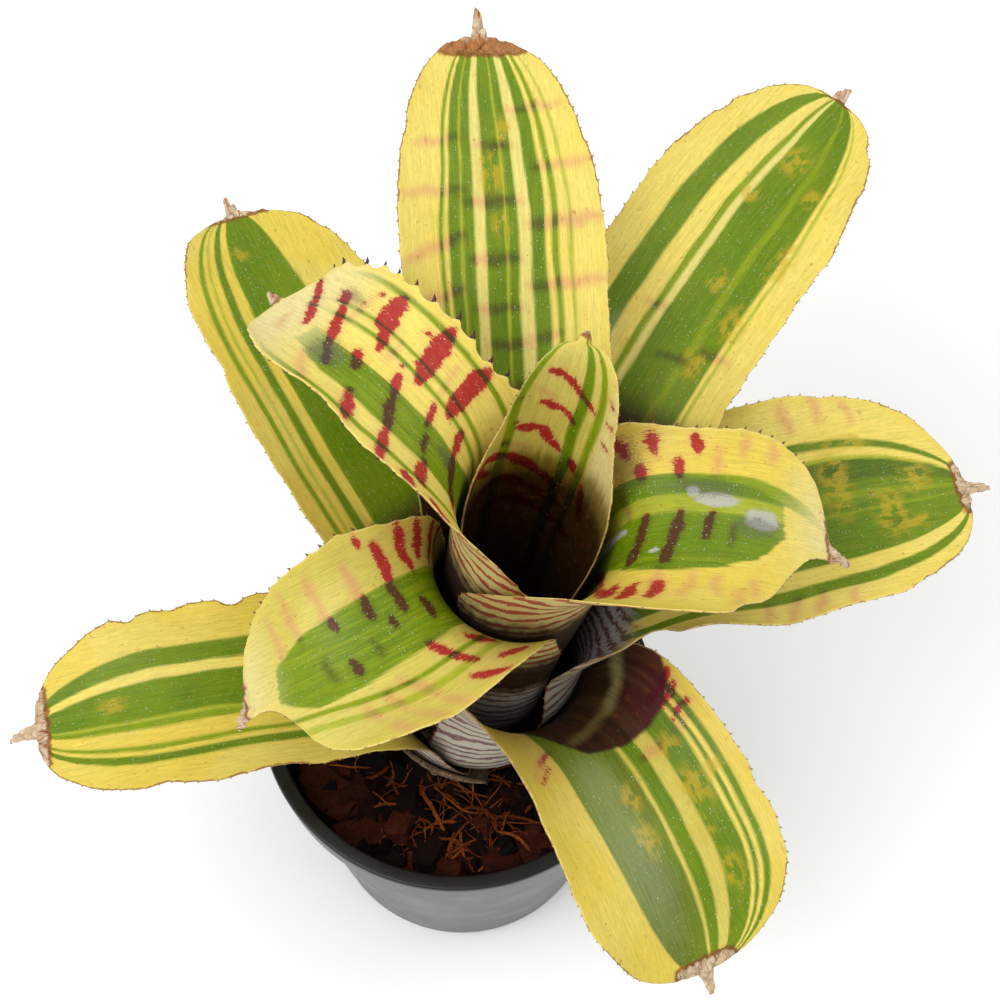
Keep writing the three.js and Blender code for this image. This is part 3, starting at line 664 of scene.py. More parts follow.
    def relief(self):
        """How far the surface stands off the plain one: slow waves, margin waves, dry crumples."""
        leaf = self.leaf
        s, w = self.s, self.w
        blade = ease(leaf["throat"] + 8, leaf["throat"] + leaf["bend"] + 10, s)
        slow = wavy(s, w, self.rng, [(70, 60, 0.35), (34, 40, 0.16)])
        margin = wavy(s, w, self.rng, [(26, 400, 0.5), (11, 400, 0.16)]) * np.abs(self.u) ** 5
        veins = wavy(s, w, self.rng, [(600, 3.4, 0.035), (500, 2.1, 0.02)])
        dry = self.dryness()
        crumple = wavy(s, w, self.rng, [(5, 4, 0.5), (2.6, 3.1, 0.28)])
        return blade * (slow + margin) + veins + crumple * dry

    def dryness(self):
        pattern = PATTERNS.get(self.name, {})
        start = pattern.get("dry", self.leaf["length"])
        reach = pattern.get("dry_across", 60)
        along = ease(start - 1.6, start + 1.6, self.s)
        return along * (1 - ease(reach, reach + 3, np.abs(self.w)))


# Fields that the colours read -------------------------------------------------------------------


def stroke_field(s, w, strokes, rng, wobble):
    """Distance in mm inside the nearest stroke: positive in it, negative out of it."""
    shift = wavy(s, w, rng, [(14, 9, wobble)])
    s = s + shift
    field = np.full(s.shape, -6.0)
    for s0, w0, s1, w1, thick in strokes:
        ds, dw = s1 - s0, w1 - w0
        length = max(ds * ds + dw * dw, 1e-6)
        t = np.clip(((s - s0) * ds + (w - w0) * dw) / length, 0, 1)
        distance = np.hypot(s - s0 - t * ds, w - w0 - t * dw)
        # A bar is fullest in its middle and thins out to its ends.
        full = thick / 2 * (1 - 0.45 * (2 * t - 1) ** 2)
        field = np.maximum(field, full - distance)
    return field


def zone_field(s, w, zone, end):
    """Distance in mm inside a zone given by its limits at some lengths."""
    if not zone:
        return np.full(s.shape, -6.0)
    places, low, high = (np.array(column, float) for column in zip(*zone))
    inside = np.minimum(w - np.interp(s, places, low), np.interp(s, places, high) - w)
    return np.clip(np.minimum(inside, end - s), -6, 6)


def spot_field(s, w, spots):
    """1 in the middle of a spot, 0.5 at its rim, 0 well away from it."""
    field = np.zeros(s.shape)
    for s0, w0, along, across in spots:
        distance = ((s - s0) / along) ** 2 + ((w - w0) / across) ** 2
        field = np.maximum(field, np.exp(-0.7 * distance))
    return field


# Meshes -------------------------------------------------------------------------------------------


def build_mesh(name, points, faces, face_slots, materials, fields=None, smooth=True):
    mesh = bpy.data.meshes.new(name)
    mesh.from_pydata((np.asarray(points) * MM).tolist(), [], faces)
    for material in materials:
        mesh.materials.append(material)
    mesh.polygons.foreach_set("material_index", np.asarray(face_slots, dtype=np.int32))
    mesh.polygons.foreach_set("use_smooth", np.full(len(mesh.polygons), smooth))
    for field, values in (fields or {}).items():
        kind = "FLOAT_VECTOR" if values.ndim == 2 else "FLOAT"
        attribute = mesh.attributes.new(field, kind, "POINT")
        key = "vector" if values.ndim == 2 else "value"
        attribute.data.foreach_set(key, values.astype(np.float32).ravel())
    mesh.update()
    piece = bpy.data.objects.new(name, mesh)
    bpy.context.scene.collection.objects.link(piece)
    return piece


def dress(piece, node):
    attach(piece, "root")
    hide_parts(node)


def spine_mesh(shape, points, faces, flats):
    """Adds the margin spines: flat curved hooks that lean towards the tip."""
    rng = shape.rng
    s_rows = shape.s_rows
    for side, (places, length) in shape.spines.items():
        column = -1 if side > 0 else 0
        inner = -4 if side > 0 else 3
        for place in places:
            i = int(np.clip(np.searchsorted(s_rows, place), 1, len(s_rows) - 2))
            root = shape.middle[i, column]
            out = root - shape.middle[i, inner]
            out /= max(np.linalg.norm(out), 1e-9)
            along = shape.middle[i + 1, column] - shape.middle[i - 1, column]
            along /= max(np.linalg.norm(along), 1e-9)
            normal = shape.normal[i, column]
            tall = length * rng.uniform(0.7, 1.2)
            bite = float(np.clip(shape.half[side][i] / 5, 0.3, 1))
            tall *= bite
            wide = 0.24 + 0.22 * tall
            base = len(points)
            rings = [(-0.5, 0.0, 1.0), (0.35, 0.18, 0.62), (1.0, 0.62, 0.06)]
            for rise, forward, scale in rings:
                centre = root + out * tall * rise + along * tall * forward
                for a, b in ((1, 0), (0, 1), (-1, 0), (0, -1)):
                    points.append(centre + along * a * wide * scale + normal * b * 0.16 * scale)
                    flats.append((s_rows[i], shape.w[i, column]))
            for ring in range(len(rings) - 1):
                for k in range(4):
                    a = base + ring * 4 + k
                    b = base + ring * 4 + (k + 1) % 4
                    faces.append((a, b, b + 4, a + 4))
            top = base + (len(rings) - 1) * 4
            faces.append((top, top + 1, top + 2, top + 3))


def leaf_piece(name, seed, skin, back, spine):
    shape = LeafShape(name, seed)
    rows, columns = shape.s.shape
    upper = np.arange(rows * columns).reshape(rows, columns)
    under = upper.copy()
    under[:, 1:-1] = rows * columns + np.arange(rows * (columns - 2)).reshape(rows, columns - 2)
    points = np.concatenate([shape.upper.reshape(-1, 3), shape.under[:, 1:-1].reshape(-1, 3)])

    def both_faces(field):
        return np.concatenate([field.ravel(), field[:, 1:-1].ravel()])

    def sheet(index, flip):
        a, b = index[:-1, :-1].ravel(), index[1:, :-1].ravel()
        c, d = index[1:, 1:].ravel(), index[:-1, 1:].ravel()
        order = (a, d, c, b) if flip else (a, b, c, d)
        return np.stack(order, -1).tolist()

    top_faces = sheet(upper, False)
    under_faces = sheet(under, True)
    ends = []
    for row in (0, rows - 1):
        for j in range(columns - 1):
            quad = [upper[row, j], upper[row, j + 1], under[row, j + 1], under[row, j]]
            quad = [int(v) for v in dict.fromkeys(quad)]
            if len(quad) > 2:
                ends.append(tuple(quad[::-1] if row == 0 else quad))
    points = list(points)
    spine_points = []
    spine_faces = []
    spine_flats = []
    spine_mesh(shape, spine_points, spine_faces, spine_flats)
    offset = len(points)
    points.extend(spine_points)
    spine_faces = [tuple(v + offset for v in face) for face in spine_faces]
    faces = top_faces + under_faces + ends + spine_faces
    slots = [0] * len(top_faces) + [1] * len(under_faces) + [0] * len(ends) + [2] * len(spine_faces)

    fields = leaf_fields(shape, seed)
    spare = len(spine_points)
    packed = {}
    for field, parts in fields.items():
        stacked = np.stack([both_faces(part) for part in parts], -1)
        extra = np.zeros((spare, 3))
        if field == "flat":
            extra[:, :2] = spine_flats
        packed[field] = np.concatenate([stacked, extra])
    piece = build_mesh(name + "_fine", points, faces, slots, [skin, back, spine], packed)
    dress(piece, name)


def leaf_fields(shape, seed):
    leaf = shape.leaf
    pattern = PATTERNS.get(shape.name, {})
    s, w = shape.s, shape.w
    rng = shape.rng
    length = leaf["length"]
    narrowing = np.clip(blade_half_width(leaf, s) / (leaf["width"] / 2), 0.12, 1)
    narrowing = np.where(s < leaf["throat"] + 10, np.maximum(narrowing, 0.8), narrowing)
    stripe = w / narrowing
    zero = np.zeros(s.shape)
    bars = stroke_field(s, w, pattern.get("bars", []), rng, 0.25)
    bands = stroke_field(s, w, pattern.get("bands", []), rng, 0.35)
    scurf = pattern.get("scurf", [])
    scurf_field = np.clip(stroke_field(s, w, scurf, rng, 0.5) / 3 + 0.5, 0, 1) if scurf else zero
    glow = np.clip(stroke_field(s, w, pattern.get("glow", []), rng, 0.3) / 2 + 0.5, 0, 1)
    scale = np.maximum(spot_field(s, w, pattern.get("scale", [])), 0.92 * scurf_field)
    # The dark foot of the blade, partly its own maroon colour and partly painted shade of the tank; an
    # open throat darkens the same way up to its own end.
    stain_and_shade_end, stain_and_shade_full, fading = pattern.get("stain_and_shade", (leaf["throat"], 0.5, 28))
    stain_and_shade = stain_and_shade_full * (1 - ease(stain_and_shade_end + 12 - fading, stain_and_shade_end + 12, s))
    if "throat" in pattern:
        across, ends = zip(*pattern["throat"])
        end = np.interp(w, across, ends)
        stain_and_shade = np.maximum(stain_and_shade, 1 - ease(end - 1.6, end + 1.6, s))
    cream = ease(pattern.get("cream", length + 20) - 14, pattern.get("cream", length + 20) + 8, s)
    if "cream_side" in pattern:
        side, limit = pattern["cream_side"]
        cream = np.maximum(cream, ease(limit - 1.6, limit + 1.6, side * w))
    return {
        "flat": (s, w, zero + 37.0 * seed),
        "place": (stripe, shape.edge, glow),
        "marks": (bars, bands, zone_field(s, w, pattern.get("zone"), pattern.get("zone_end", 0))),
        "spots": (
            spot_field(s, w, pattern.get("amber", [])),
            scale,
            spot_field(s, w, pattern.get("soot", [])),
        ),
        # Dryness, the dark foot of the blade (partly painted shade of the tank) and the pale tissue.
        "wear_and_shade": (
            shape.dryness(),
            stain_and_shade,
            cream,
        ),
        # Spots of painted sheen, the widening of the brown margin and the pinkish tip.
        "more": (
            spot_field(s, w, pattern.get("sheen_spots", [])),
            brown_margin(pattern, s),
            ease(pattern.get("tip_tint", length + 30), pattern.get("tip_tint", length + 30) + 12, s),
        ),
    }


def brown_margin(pattern, s):
    start, end = pattern.get("brown_margin", (1e4, 2e4))
    return ease(start - 6, start + 6, s) * (1 - ease(end, end + 6, s))


# Materials ----------------------------------------------------------------------------------------


class Nodes:
    """A material's shader nodes, with short calls for the ones that are used most."""

    def __init__(self, name):
        self.material = bpy.data.materials.new(name)
        self.material.use_nodes = True
        self.tree = self.material.node_tree
        self.tree.nodes.clear()
        self.split_of = {}

    def make(self, kind, **settings):
        node = self.tree.nodes.new(kind)
        for key, value in settings.items():
            setattr(node, key, value)
        return node

    def put(self, socket, value):
        if isinstance(value, bpy.types.NodeSocket):
            self.tree.links.new(value, socket)
        elif socket.type == "RGBA":
            socket.default_value = (*value[:3], 1)
        else:
            socket.default_value = value

    def math(self, operation, a, b=0.0, c=0.0):
        node = self.make("ShaderNodeMath", operation=operation)
        for socket, value in zip(node.inputs, (a, b, c)):
            self.put(socket, value)
        return node.outputs[0]

    def add(self, *values):
        total = values[0]
        for value in values[1:]:
            total = self.math("ADD", total, value)
        return total

    def times(self, a, b):
        return self.math("MULTIPLY", a, b)

    def swing(self, noise, height):
        """A noise in 0..1 as a swing about 0."""
        return self.math("MULTIPLY_ADD", noise, 2.0 * height, -height)

    def step(self, value, low, high, start=0.0, end=1.0):
        if low > high:
            low, high, start, end = high, low, end, start
        node = self.make("ShaderNodeMapRange", interpolation_type="SMOOTHSTEP")
        for socket, number in zip(node.inputs, (value, low, high, start, end)):
            self.put(socket, number)
        return node.outputs[0]

    def mix(self, share, a, b, blend_type="MIX"):
        node = self.make("ShaderNodeMix", data_type="RGBA", blend_type=blend_type)
        self.put(node.inputs[0], share)
        self.put(node.inputs[6], a)
        self.put(node.inputs[7], b)
        return node.outputs[2]

    def bright(self, colour, value):
        node = self.make("ShaderNodeHueSaturation")
        self.put(node.inputs["Value"], value)
        self.put(node.inputs["Color"], colour)
        return node.outputs[0]

    def field(self, name):
        return self.make("ShaderNodeAttribute", attribute_name=name).outputs["Vector"]

    def parts(self, name):
        if name not in self.split_of:
            node = self.make("ShaderNodeSeparateXYZ")
            self.put(node.inputs[0], self.field(name))
            self.split_of[name] = node.outputs
        return self.split_of[name]

    def scaled(self, vector, along, across, deep=1.0):
        node = self.make("ShaderNodeVectorMath", operation="MULTIPLY")
        self.put(node.inputs[0], vector)
        node.inputs[1].default_value = (along, across, deep)
        return node.outputs[0]

    def noise(self, vector, detail=2.0, roughness=0.5):
        node = self.make("ShaderNodeTexNoise")
        self.put(node.inputs["Vector"], vector)
        node.inputs["Scale"].default_value = 1.0
        node.inputs["Detail"].default_value = detail
        node.inputs["Roughness"].default_value = roughness
        return node.outputs["Fac"]

    def specks(self, vector, share, small, large):
        """Round specks in about this share of the cells, each cell 1 unit wide."""
        node = self.make("ShaderNodeTexVoronoi", voronoi_dimensions="3D")
        self.put(node.inputs["Vector"], vector)
        node.inputs["Scale"].default_value = 1.0
        node.inputs["Randomness"].default_value = 0.9
        split = self.make("ShaderNodeSeparateXYZ")
        self.put(split.inputs[0], node.outputs["Color"])
        present = self.math("LESS_THAN", split.outputs[0], share)
        size = self.step(split.outputs[1], 0.0, 1.0, small, large)
        inside = self.math("SUBTRACT", size, node.outputs["Distance"])
        return self.times(self.step(inside, -0.03, 0.05), present)

    def ramp(self, value, stops):
        node = self.make("ShaderNodeValToRGB")
        self.put(node.inputs[0], value)
        band = node.color_ramp
        while len(band.elements) > 1:
            band.elements.remove(band.elements[-1])
        band.elements[0].position = stops[0][0]
        band.elements[0].color = (*stops[0][1], 1)
        for position, colour in stops[1:]:
            band.elements.new(position).color = (*colour, 1)
        return node.outputs[0]

    def bump(self, height, distance, strength=1.0):
        node = self.make("ShaderNodeBump")
        node.inputs["Strength"].default_value = strength
        node.inputs["Distance"].default_value = distance
        self.put(node.inputs["Height"], height)
        return node.outputs[0]

    def surface(self, colour, roughness, normal=None, **fixed):
        shader = self.make("ShaderNodeBsdfPrincipled")
        self.put(shader.inputs["Base Color"], colour)
        self.put(shader.inputs["Roughness"], roughness)
        if normal is not None:
            self.put(shader.inputs["Normal"], normal)
        for key, value in fixed.items():
            shader.inputs[key.replace("_", " ")].default_value = value
        output = self.make("ShaderNodeOutputMaterial")
        self.put(output.inputs["Surface"], shader.outputs[0])
        return self.material


STRIPE_RANGE = 34.0  # the stripes' ramp covers this far to each side of the midline
STRIPE_SOFTNESS = 0.45  # half the width in mm over which one stripe turns into the next
MOST_STOPS = 32  # as many as a colour ramp holds


def stripe_stops(ground, stripes):
    """Ramp stops for stripes given as (from, to, tone), with soft sides."""
    edges = []
    stripes = sorted(stripes)
    here = -STRIPE_RANGE
    for low, high, name in stripes:
        if low < here:
            low = here
        if low > here:
            edges.append((here, low, ground))
        edges.append((low, high, name))
        here = high
    edges.append((here, STRIPE_RANGE, ground))
    stops = []
    for (_, end, before), (_, _, after) in zip(edges, edges[1:]):
        stops.append((end - STRIPE_SOFTNESS, TONES[before]))
        stops.append((end + STRIPE_SOFTNESS, TONES[after]))
    kept = []
    last = -1.0
    for place, colour in stops:
        position = max((place + STRIPE_RANGE) / (2 * STRIPE_RANGE), last + 0.0005)
        kept.append((position, colour))
        last = position
    if len(kept) > MOST_STOPS:
        raise ValueError("too many stripes for one colour ramp")
    return kept


CRIMSON = tone(176, 2, 28)
CRIMSON_LIGHT = tone(202, 34, 50)
BROWN_BAR = tone(82, 44, 20)
SALMON = tone(226, 146, 112)
OLIVE_BAND = tone(70, 72, 14)
MAROON = tone(66, 14, 20)
DEEP_MAROON = tone(34, 12, 10)
PURPLE = tone(118, 52, 74)
DARK_RED = tone(150, 14, 34)
TAN = tone(214, 182, 142)
RUST = tone(166, 88, 34)
DARK_RUST = tone(104, 52, 24)
GREY_SCALE = tone(196, 196, 190)
# The colour of the painted sheen on the leaves.
SHEEN_SILVER = tone(214, 220, 200)
WHITE_SHEATH = tone(206, 203, 190)

SHEATH_BAND_PITCH = 3.4  # mm from one purple band to the next on a sheath's upper face
UNDER_BAND_PITCH = {True: 4.0, False: 3.6}  # the same on the under face: inner, outer leaves


def stripes_of(n, pattern, streak, fine_streak, cloud):
    """The leaf's own stripes of yellow and green, before any bars and wear."""
    stripe, _, _ = n.parts("place")
    shifted = n.add(stripe, n.swing(streak, 0.45), n.swing(fine_streak, 0.35), n.swing(cloud, 1.2))
    position = n.math("MULTIPLY_ADD", shifted, 0.5 / STRIPE_RANGE, 0.5)
    colour = n.ramp(position, stripe_stops(pattern["ground"], pattern["stripes"]))
    if pattern.get("zone"):
        _, _, zone = n.parts("marks")
        inside = n.add(zone, n.swing(streak, 1.6), n.swing(cloud, 1.4))
        green = n.mix(n.step(streak, 0.4, 0.66), TONES["green"], TONES["leafy"])
        if pattern.get("zone_streaks"):
            streaks = n.ramp(position, stripe_stops("green", pattern["zone_streaks"]))
            green = n.mix(0.8, green, streaks)
        colour = n.mix(n.step(inside, -0.6, 0.7), colour, green)
    return colour


def sheath_bands(n, zone, colour, fine_streak, mottle):
    """White tissue with purple bands on a part (s from, s to, w from, w to) of the sheath."""
    s, w, _ = n.parts("flat")
    start, end, low, high = zone
    place = n.add(s, n.times(w, 0.5), n.swing(mottle, 2.4))
    wave = n.math("SINE", n.times(place, 2 * math.pi / SHEATH_BAND_PITCH))
    bands = n.step(n.add(wave, n.swing(fine_streak, 1.2)), 0.0, 0.7)
    white = n.mix(n.step(fine_streak, 0.3, 0.7), tone(176, 166, 158), tone(226, 220, 214))
    banded = n.mix(n.times(bands, 0.85), white, tone(112, 36, 58))
    rough = n.add(n.swing(mottle, 6.0), n.swing(fine_streak, 3.0))
    rough_s = n.add(s, rough)
    along = n.times(n.step(rough_s, start - 4, start + 4), n.step(rough_s, end + 5, end - 5))
    across = n.times(n.step(w, low - 1, low + 1), n.step(n.add(w, rough), high + 3, high - 3))
    return n.mix(n.times(along, across), colour, banded)


def shaded_maroon_foot(n, pattern, streak, glow):
    """Dark foot of an outer leaf's blade, maroon partly of its own colour and partly painted shade, with
    painted light on an open throat if it has one.
    """
    foot = n.mix(n.step(streak, 0.4, 0.62), DEEP_MAROON, MAROON)
    if "glow" not in pattern:
        return foot
    s, w, _ = n.parts("flat")
    flush = n.times(n.step(s, 52, 63), n.step(w, 6, 17))
    foot = n.mix(n.times(flush, 0.7), foot, tone(88, 16, 36))
    # The glow: painted light on the open throat, olive low across it and paler towards +w.
    lit = n.times(glow, n.step(streak, 0.25, 0.6, 0.5, 1.0))
    light = n.mix(n.step(w, 4, 22), tone(118, 106, 50), tone(186, 178, 118))
    return n.mix(n.times(lit, 0.8), foot, light)


def green_share(n, colour):
    """1 on green tissue, 0 on yellow."""
    split = n.make("ShaderNodeSeparateColor")
    n.put(split.inputs[0], colour)
    return n.step(split.outputs[0], 0.5, 0.2)


def leaf_skin(name):
    """Upper face of a leaf."""
    pattern = PATTERNS[name]
    n = Nodes("skin_" + name)
    flat = n.field("flat")
    _, edge, glow = n.parts("place")
    bars, bands, _ = n.parts("marks")
    amber, scale, soot = n.parts("spots")
    dry, stain_and_shade, cream = n.parts("wear_and_shade")
    sheen_spots, brown_edge, tip_tint = n.parts("more")
    streak = n.noise(n.scaled(flat, 0.05, 0.9), 3.0, 0.6)
    fine_streak = n.noise(n.scaled(flat, 0.14, 2.6), 3.0, 0.65)
    cloud = n.noise(n.scaled(flat, 0.035, 0.05), 1.0)
    mottle = n.noise(n.scaled(flat, 0.42, 0.55), 3.0, 0.55)
    grain = n.noise(n.scaled(flat, 2.6, 3.4), 2.0, 0.6)

    colour = stripes_of(n, pattern, streak, fine_streak, cloud)
    leafy = green_share(n, colour)

    # Fine streaks of the other tissue in each stripe.
    streaks = n.noise(n.scaled(flat, 0.03, 1.5), 2.0, 0.7)
    threads = n.noise(n.scaled(flat, 0.06, 3.6), 2.0, 0.6)
    lime_here = n.times(n.step(n.add(streaks, n.swing(threads, 0.3)), 0.52, 0.74), 0.34)
    colour = n.mix(lime_here, colour, n.mix(leafy, TONES["lime"], TONES["leafy"]))
    deep_here = n.times(n.step(n.add(streaks, n.swing(threads, 0.3)), 0.48, 0.28), n.times(leafy, 0.4))
    colour = n.mix(deep_here, colour, TONES["deep"])

    # Slow changes of the yellow and the green.
    paler = n.times(n.step(cloud, 0.42, 0.62), 0.32)
    colour = n.mix(paler, colour, n.mix(leafy, TONES["pale"], TONES["leafy"]))
    colour = n.mix(cream, colour, TONES["cream"])
    veins = n.step(fine_streak, 0.34, 0.66, 0.9, 1.08)
    colour = n.bright(colour, n.times(veins, n.step(mottle, 0.3, 0.7, 0.94, 1.05)))
    golden = n.times(n.step(n.add(edge, n.swing(mottle, 2.0)), 3.6, 0.4), 0.35)
    colour = n.mix(n.times(golden, n.math("SUBTRACT", 1.0, leafy)), colour, TONES["gold"])

    # Amber and grey spots, and a painted sheen: a silver reflection on a green field.
    patchy = n.noise(n.scaled(flat, 0.3, 0.42), 2.0, 0.5)
    spot = n.times(amber, n.step(n.add(patchy, n.swing(fine_streak, 0.2)), 0.34, 0.6, 0.1, 1.5))
    colour = n.mix(n.times(n.step(spot, 0.05, 1.2), 0.6), colour, TONES["amber"])
    sheen_here = n.add(sheen_spots, n.swing(fine_streak, 0.35), n.swing(grain, 0.2))
    colour = n.mix(n.times(n.step(sheen_here, 0.3, 1.0), 0.16), colour, SHEEN_SILVER)

    # Soft bands, then the sharp bars, whose edges run out along the veins.
    bleed = n.noise(n.scaled(flat, 0.3, 1.9), 3.0, 0.7)
    ragged = n.add(n.swing(bleed, 1.2), n.swing(grain, 0.9), n.swing(mottle, 1.0))
    band = n.step(n.add(bands, ragged), -1.5, 1.6)
    band_colour = n.mix(leafy, SALMON, OLIVE_BAND)
    colour = n.mix(n.times(band, n.step(leafy, 0.0, 1.0, 0.58, 0.8)), colour, band_colour)
    edge_of_bar = n.add(bars, ragged, 0.15)
    halo = n.times(n.step(edge_of_bar, -1.9, 0.0), 0.24)
    colour = n.mix(halo, colour, n.mix(leafy, SALMON, OLIVE_BAND))
    red = n.mix(n.step(mottle, 0.46, 0.8), CRIMSON, CRIMSON_LIGHT)
    red = n.mix(leafy, red, BROWN_BAR)
    in_bar = n.step(edge_of_bar, -0.3, 0.3)
    colour = n.mix(n.times(in_bar, 0.95), colour, red)

    # The dark foot of the blade: painted shade of the tank, on outer leaves mixed with their own maroon
    # colour.
    uneven = n.times(n.swing(streak, 0.5), n.times(stain_and_shade, n.math("SUBTRACT", 1.0, stain_and_shade)))
    dark = n.step(n.add(stain_and_shade, uneven), 0.02, 0.98)
    if is_inner(name):
        # Painted shade of the tank: olive first, then nearly black, with the bars showing through it.
        colour = n.mix(n.step(dark, 0.0, 0.42), colour, (0.32, 0.27, 0.13), "MULTIPLY")
        colour = n.mix(n.step(dark, 0.3, 0.9), colour, (0.14, 0.09, 0.05), "MULTIPLY")
    else:
        # Outer leaves: a maroon foot, partly their own colour and partly painted shade.
        foot = shaded_maroon_foot(n, pattern, streak, glow)
        colour = n.mix(n.times(n.step(dark, 0.1, 1.0), 0.96), colour, foot)
    if "sheath_bands" in pattern:
        colour = sheath_bands(n, pattern["sheath_bands"], colour, fine_streak, mottle)

    # Scale patches, soot, white and dark specks.
    patch = n.add(scale, n.swing(grain, 0.3), n.swing(mottle, 0.24))
    patch = n.step(patch, 0.45, 0.6)
    colour = n.mix(n.times(patch, 0.82), colour, GREY_SCALE)
    sooty = n.add(soot, n.swing(grain, 0.7), n.swing(mottle, 0.3))
    colour = n.mix(n.times(n.step(sooty, 0.62, 0.9), 0.5), colour, tone(86, 80, 78))
    furry = n.math("MAXIMUM", leafy, in_bar)
    white = n.specks(n.scaled(flat, 1.1, 1.6), 0.55, 0.08, 0.22)
    dust = n.specks(n.scaled(flat, 2.4, 3.2), 0.5, 0.08, 0.26)
    white = n.math("MAXIMUM", white, n.times(dust, 0.55))
    white = n.times(white, n.step(furry, 0.0, 1.0, 0.1, 0.72))
    white = n.times(white, n.math("SUBTRACT", 1.0, dark))
    colour = n.mix(white, colour, tone(226, 230, 210))
    black = n.specks(n.scaled(flat, 0.34, 0.34, 3.0), 0.34, 0.02, 0.075)
    colour = n.mix(n.times(black, 0.8), colour, tone(50, 34, 24))

    # Brown margin line, wider where the leaf has aged.
    rim_noise = n.noise(n.scaled(flat, 0.5, 0.5, 2.0), 3.0, 0.7)
    colour = n.mix(n.step(edge, 0.45, 0.1, 0.0, 0.45), colour, TONES["cream"])
    line_width = n.add(
        n.math("MULTIPLY_ADD", brown_edge, 0.34, pattern.get("rim", 0.4) * 0.5 - 0.12),
        n.swing(rim_noise, 0.9),
    )
    line = n.step(n.math("SUBTRACT", line_width, edge), -0.05, 0.2)
    colour = n.mix(n.times(line, 0.75), colour, n.mix(rim_noise, DARK_RUST, RUST))

    # Tips: pink-brown ageing, then dry tissue with a rusty fringe.
    tint = n.times(n.step(n.add(tip_tint, n.swing(mottle, 0.4)), 0.3, 0.9), 0.55)
    colour = n.mix(tint, colour, tone(206, 142, 110))
    withered = n.add(dry, n.swing(mottle, 0.5), n.swing(grain, 0.16))
    fringe = n.step(withered, 0.06, 0.4)
    colour = n.mix(n.times(fringe, 0.85), colour, n.mix(n.step(grain, 0.35, 0.65), DARK_RUST, RUST))
    husk = n.mix(n.step(mottle, 0.3, 0.7), TAN, tone(240, 220, 188))
    husk = n.mix(n.step(fine_streak, 0.52, 0.66), husk, RUST)
    if "rusty_to" in pattern:
        along, _, _ = n.parts("flat")
        place = n.add(along, n.swing(mottle, 2.0))
        rusty = n.step(place, pattern["rusty_to"] + 1, pattern["rusty_to"] - 1)
        burnt = n.mix(n.step(grain, 0.35, 0.65), RUST, tone(200, 132, 56))
        husk = n.mix(n.times(rusty, 0.85), husk, burnt)
    is_dry = n.step(withered, 0.56, 0.84)
    colour = n.mix(is_dry, colour, husk)

    rough = n.step(mottle, 0.3, 0.7, 0.42, 0.52)
    rough = n.math("MAXIMUM", rough, n.times(n.math("MAXIMUM", is_dry, patch), 0.85))
    height = n.add(
        n.times(fine_streak, 0.5), n.times(mottle, 0.35), n.times(grain, 0.12), n.times(white, 0.5)
    )
    height = n.add(height, n.times(n.times(is_dry, grain), 2.0))
    normal = n.bump(height, 0.00022, 0.7)
    return n.surface(
        colour, rough, normal, Subsurface_Weight=0.12, Subsurface_Scale=0.0012,
        Specular_IOR_Level=0.22,
    )


